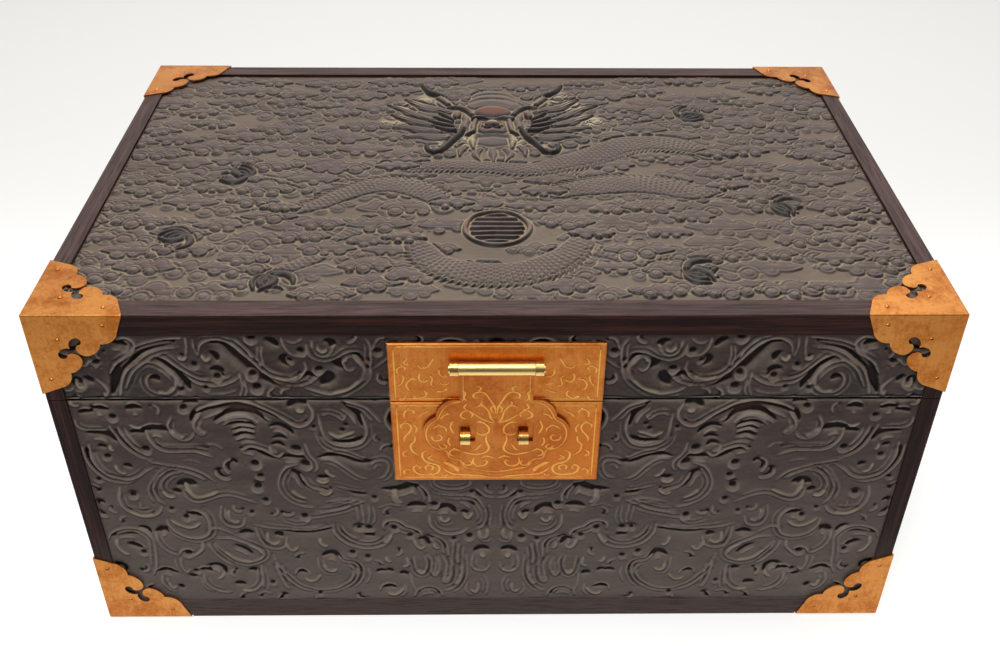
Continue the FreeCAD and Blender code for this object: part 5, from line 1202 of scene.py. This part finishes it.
# Chased lines on the lock plates and the hasp: fine raised scrolls and rims
chaseMap = (16.0, -50.0, 181.0)
chaseLook = {
    "breadth": 1.4,  # all half widths times this
    "height": 0.16,
    "plateFace": 1.6,  # how far the plates and the hasp stand in front of the box, in mm
    "haspFace": 3.15,
    "border": 0.3,  # half widths of the plates' border and the hasp's rim
    "rim": 0.26,
}
plateUpperLines = [
    (0.34, 180, 155, 160, 185, 168, 212, 190, 205),
    (0.36, 110, 290, 105, 250, 140, 225, 165, 240, 155, 262),
    (0.36, 255, 210, 270, 240, 310, 235, 330, 215, 355, 170, 365, 150),
    (0.4, 265, 285, 255, 330, 280, 365, 310, 355, 315, 340),
    (0.42, 245, 340, 195, 345, 165, 390, 180, 432, 200, 440),
    (0.42, 210, 500, 250, 515, 300, 490, 302, 458, 285, 450), (0.34, 110, 520, 135, 530, 160, 490),
    (0.36, 400, 250, 400, 290, 430, 320, 460, 315), (0.36, 375, 460, 410, 455, 440, 440, 460, 436),
    (0.32, 110, 400, 135, 375, 150, 330, 140, 300), (0.32, 330, 300, 350, 340, 340, 390, 375, 410),
    (0.32, 400, 380, 440, 390, 470, 370),
]
plateLowerLines = [
    (0.4, 140, 700, 140, 650, 170, 620, 205, 630, 210, 660),
    (0.4, 115, 800, 110, 770, 140, 745, 175, 760, 185, 800, 165, 840, 145, 865, 128, 905, 132, 930),
    (0.4, 210, 870, 205, 920, 175, 960, 185, 1020, 230, 1060),
    (0.36, 150, 1010, 120, 1030, 120, 1065, 150, 1070),
    (0.46, 300, 1010, 265, 1030, 255, 1070, 270, 1110, 310, 1140, 365, 1160, 380, 1200, 360, 1240, 310,
     1260, 240, 1255, 200, 1230, 185, 1190, 205, 1165, 235, 1180, 225, 1205),
    (0.4, 285, 1210, 275, 1180, 300, 1160, 330, 1175, 325, 1205, 303, 1208),
    (0.36, 120, 1255, 115, 1220, 145, 1200, 162, 1218), (0.9, 410, 1130, 450, 1150, 500, 1190, 520, 1230),
    (0.5, 400, 1180, 440, 1225, 500, 1255, 600, 1262, 700, 1272, 760, 1285),
    (0.36, 240, 690, 265, 660, 300, 640, 330, 615), (0.36, 205, 760, 225, 800, 215, 840),
    (0.36, 330, 1060, 300, 1090, 345, 1110), (0.34, 440, 1255, 420, 1270, 395, 1255),
]
haspLines = [
    (0.42, 795, 640, 788, 580, 760, 520, 720, 450, 680, 435, 640, 455, 640, 490, 665, 490),
    (0.4, 650, 580, 690, 560, 720, 580, 745, 620, 760, 680, 790, 720),
    (0.4, 590, 690, 545, 665, 560, 620, 600, 610, 630, 640, 620, 675),
    (0.4, 640, 640, 690, 680, 740, 710, 790, 722),
    (0.42, 655, 720, 700, 720, 740, 760, 745, 810, 710, 840, 670, 830, 657, 805),
    (0.42, 730, 840, 725, 890, 740, 940, 745, 975, 720, 1010, 660, 1030, 600, 1020, 540, 1000),
    (0.36, 690, 930, 660, 975, 640, 985),
    (0.42, 635, 1060, 630, 1110, 660, 1145, 710, 1140, 735, 1110, 725, 1090, 705, 1098),
    (0.4, 555, 1100, 570, 1135, 610, 1135, 620, 1110, 602, 1092),
    (0.4, 500, 1050, 460, 1030, 465, 995, 500, 980, 540, 1000),
    (0.38, 330, 850, 345, 890, 385, 895, 405, 865, 390, 840, 368, 850),
    (0.38, 410, 930, 435, 945, 430, 970, 400, 970, 385, 942), (0.4, 490, 700, 470, 760, 480, 800, 495, 830),
    (0.36, 395, 690, 430, 650, 470, 640), (0.36, 340, 780, 385, 750, 430, 770, 440, 810),
    (0.36, 590, 540, 570, 580, 590, 600), (0.34, 700, 520, 690, 545, 710, 560),
    (0.36, 780, 560, 760, 590, 770, 630), (0.36, 460, 860, 450, 910, 470, 950),
    (0.36, 690, 1060, 740, 1050, 790, 1070), (0.34, 560, 420, 580, 450, 570, 490, 590, 520),
    (0.34, 660, 380, 690, 400, 680, 430),
]
haspRim = [
    (14.6, 163.6), (14.7, 155.0), (15.0, 148.6), (19.6, 147.2), (22.9, 144.9), (25.2, 140.6), (26.3, 137.9),
    (29.8, 134.9), (31.7, 130.2), (31.0, 124.6), (27.6, 120.4), (23.6, 119.3), (22.3, 117.6), (21.5, 114.6),
    (18.2, 113.5), (16.5, 112.9), (14.4, 108.8), (9.9, 107.4), (0.0, 105.5),
]


def chased(name, body, level, lines):
    # Raised lines: a low arch of five points carried along each path, closed underneath and at both ends
    verts, faceList, count = [], [], 0
    for half, path in lines:
        way = np.gradient(path, axis=0)
        way /= np.hypot(*way.T)[:, None]
        side = np.column_stack([-way[:, 1], way[:, 0]])
        taper = np.interp(np.linspace(0, 1, len(path)), (0, 0.12, 0.88, 1), (0.35, 1, 1, 0.35))
        across = np.array((-1.0, -0.62, 0.0, 0.62, 1.0))
        high = chaseLook["height"]
        lift = np.array((-0.05, 0.72 * high, high, 0.72 * high, -0.05))
        reach = across * half * chaseLook["breadth"] * taper[:, None]
        u = path[:, 0, None] + side[:, 0, None] * reach
        v = path[:, 1, None] + side[:, 1, None] * reach
        verts.append(onFace("front", u.ravel(), v.ravel(), np.broadcast_to(lift, u.shape).ravel() + level))
        n = len(path)
        ring = count + np.arange(n * 5).reshape(n, 5)
        turned = np.roll(ring, -1, 1)
        faceList.append(np.stack([ring[:-1], ring[1:], turned[1:], turned[:-1]], -1).reshape(-1, 4))
        caps = (ring[0], ring[-1][::-1])
        faceList += [np.r_[cap[[0, 1, 2, 3]], cap[[0, 3, 4]]] for cap in caps]
        count += n * 5
    quads = np.concatenate([f for f in faceList if f.ndim == 2])
    ends = [f for f in faceList if f.ndim == 1]
    loops = np.concatenate([quads.ravel(), *ends])
    counts = np.r_[np.full(len(quads), 4), np.tile((4, 3), len(ends))]
    starts = np.r_[0, np.cumsum(counts)[:-1]]
    shaded = np.ones(len(counts), bool)
    piece = buildMesh(name, np.vstack(verts), loops, starts, shaded, finishes["line"], {})
    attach(piece, body)


def bothSides(lines):
    made = []
    for half, *points in lines:
        path = curve(traced(points, *chaseMap), 0.45)
        made += [(half, path), (half, path * (-1, 1))]
    return made


def frameLine(u, low, high, half):  # straight border lines inside a plate's edge
    path = [[(-u, low), (u, low)], [(u, low), (u, high)], [(u, high), (-u, high)], [(-u, high), (-u, low)]]
    return [(half, curve(p, 2.0)) for p in path]


upperLines = bothSides(plateUpperLines) + frameLine(44.6, 148.4, 177.4, chaseLook["border"])
lowerLines = bothSides(plateLowerLines) + frameLine(44.6, 100.6, 144.4, chaseLook["border"])
chased("lock_plate_upper_chasing", "lid", chaseLook["plateFace"], upperLines)
chased("lock_plate_lower_chasing", "base", chaseLook["plateFace"], lowerLines)
rim = np.array(haspRim)
rimPath = curve(np.vstack([rim, rim[-2::-1] * (-1, 1)]), 0.7)
chased("hasp_chasing", "hasp", chaseLook["haspFace"], bothSides(haspLines) + [(chaseLook["rim"], rimPath)])
print("chasing laid")


# Stage: pale floor, soft light from above and behind
stageLook = {
    "drop": -0.0003,
    "nearPaper": (0.86, 0.86, 0.85, 1),
    "farPaper": (0.70, 0.695, 0.68, 1),
    "hiddenPaper": (0.45, 0.45, 0.44, 1),
    "lift": (0.55, 0.55, 0.54, 1),
    "glow": 1.15,
    # name, place, aim, size and power
    "lamps": (("key", (0.1, 0.55, 1.5), (0, 0, 0.1), 1.3, 13.0),
              ("fill", (-0.3, -0.6, 1.3), (0, -0.1, 0.1), 0.4, 7.0)),
}


def startStage():
    mesh = bpy.data.meshes.new("floor")
    corners = [(x, y, stageLook["drop"]) for x, y in ((-6, -6), (6, -6), (6, 6), (-6, 6))]
    mesh.from_pydata(corners, [], [(0, 1, 2, 3)])
    floor = bpy.data.objects.new("floor", mesh)
    bpy.context.scene.collection.objects.link(floor)
    material, w, surface = startFinish("floor_paper")
    depth = w.part("Object", "Y")
    seen = w.node("LightPath", {}, {}, "Is Camera Ray")
    paper = w.mix(w.ramp(depth, -0.3, 0.5), stageLook["nearPaper"], stageLook["farPaper"])
    w.feed(surface.inputs["Base Color"], w.mix(seen, stageLook["hiddenPaper"], paper))
    # for the camera the paper also glows, most in front of the box
    surface.inputs["Emission Strength"].default_value = 1.0
    lift = w.mix(seen * (1.0 - w.ramp(depth, -0.35, 0.35)), (0, 0, 0, 1), stageLook["lift"])
    w.feed(surface.inputs["Emission Color"], lift)
    surface.inputs["Roughness"].default_value = 0.9
    surface.inputs["Specular IOR Level"].default_value = 0.1
    # in reflections the paper glows, a painted reflection of the lit floor, and darkens away from the front
    # of the box
    light = w.mix(w.ramp(depth, -0.95, -0.12), (0.1, 0.1, 0.1, 1), (1, 1, 0.98, 1))
    glow = w.node("Emission", {}, {"Color": light, "Strength": stageLook["glow"]})
    glossy = w.node("LightPath", {}, {}, "Is Glossy Ray")
    output = material.node_tree.nodes["Material Output"]
    blend = w.node("MixShader", {}, {0: glossy, 1: Wire(w.tree, surface.outputs[0]), 2: glow})
    w.feed(output.inputs["Surface"], blend)
    mesh.materials.append(material)

    world = bpy.data.worlds.new("studio")
    bpy.context.scene.world = world
    world.use_nodes = True
    w = Wire(world.node_tree)
    behindAndAbove = w.part("Generated", "Y") + w.part("Generated", "Z") * 0.8
    level = w.ramp(behindAndAbove, -0.7, 0.7) * 0.75 + 0.12
    camera = w.node("LightPath", {}, {}, "Is Camera Ray")
    background = world.node_tree.nodes["Background"]
    background.inputs["Color"].default_value = (1, 1, 0.985, 1)
    w.feed(background.inputs["Strength"], camera + (1.0 - camera) * level)

    for name, place, aim, size, power in stageLook["lamps"]:
        lamp = bpy.data.lights.new(name, "AREA")
        lamp.size = size
        lamp.energy = power
        made = bpy.data.objects.new(name, lamp)
        bpy.context.scene.collection.objects.link(made)
        away = np.array(place) - np.array(aim)
        away = away / np.linalg.norm(away)
        side = np.cross((0, 0, 1), away)
        side /= np.linalg.norm(side)
        rise = np.cross(away, side)
        made.matrix_world = Matrix([[side[k], rise[k], away[k], place[k]] for k in range(3)] + [[0, 0, 0, 1]])


startStage()

# Camera at the photo's place
eye = np.array((-0.00560, -0.51109, 0.46957))
pitch, yaw, roll = 0.635, 0.0179, 0.0094
ahead = np.array((math.sin(yaw) * math.cos(pitch), math.cos(yaw) * math.cos(pitch), -math.sin(pitch)))
right = np.array((math.cos(yaw), -math.sin(yaw), 0.0))
up = np.cross(right, ahead)
right, up = math.cos(roll) * right + math.sin(roll) * up, math.cos(roll) * up - math.sin(roll) * right
lens = bpy.data.cameras.new("camera")
photoWidth, focalPixels = 1000, 1122.77
lens.sensor_width = 36.0
lens.lens = focalPixels * lens.sensor_width / photoWidth
lens.clip_start = 0.01
camera = bpy.data.objects.new("camera", lens)
bpy.context.scene.collection.objects.link(camera)
camera.matrix_world = Matrix([[right[k], up[k], -ahead[k], eye[k]] for k in range(3)] + [[0, 0, 0, 1]])
bpy.context.scene.camera = camera
bpy.context.scene.view_settings.view_transform = "Standard"
print("stage and camera set")
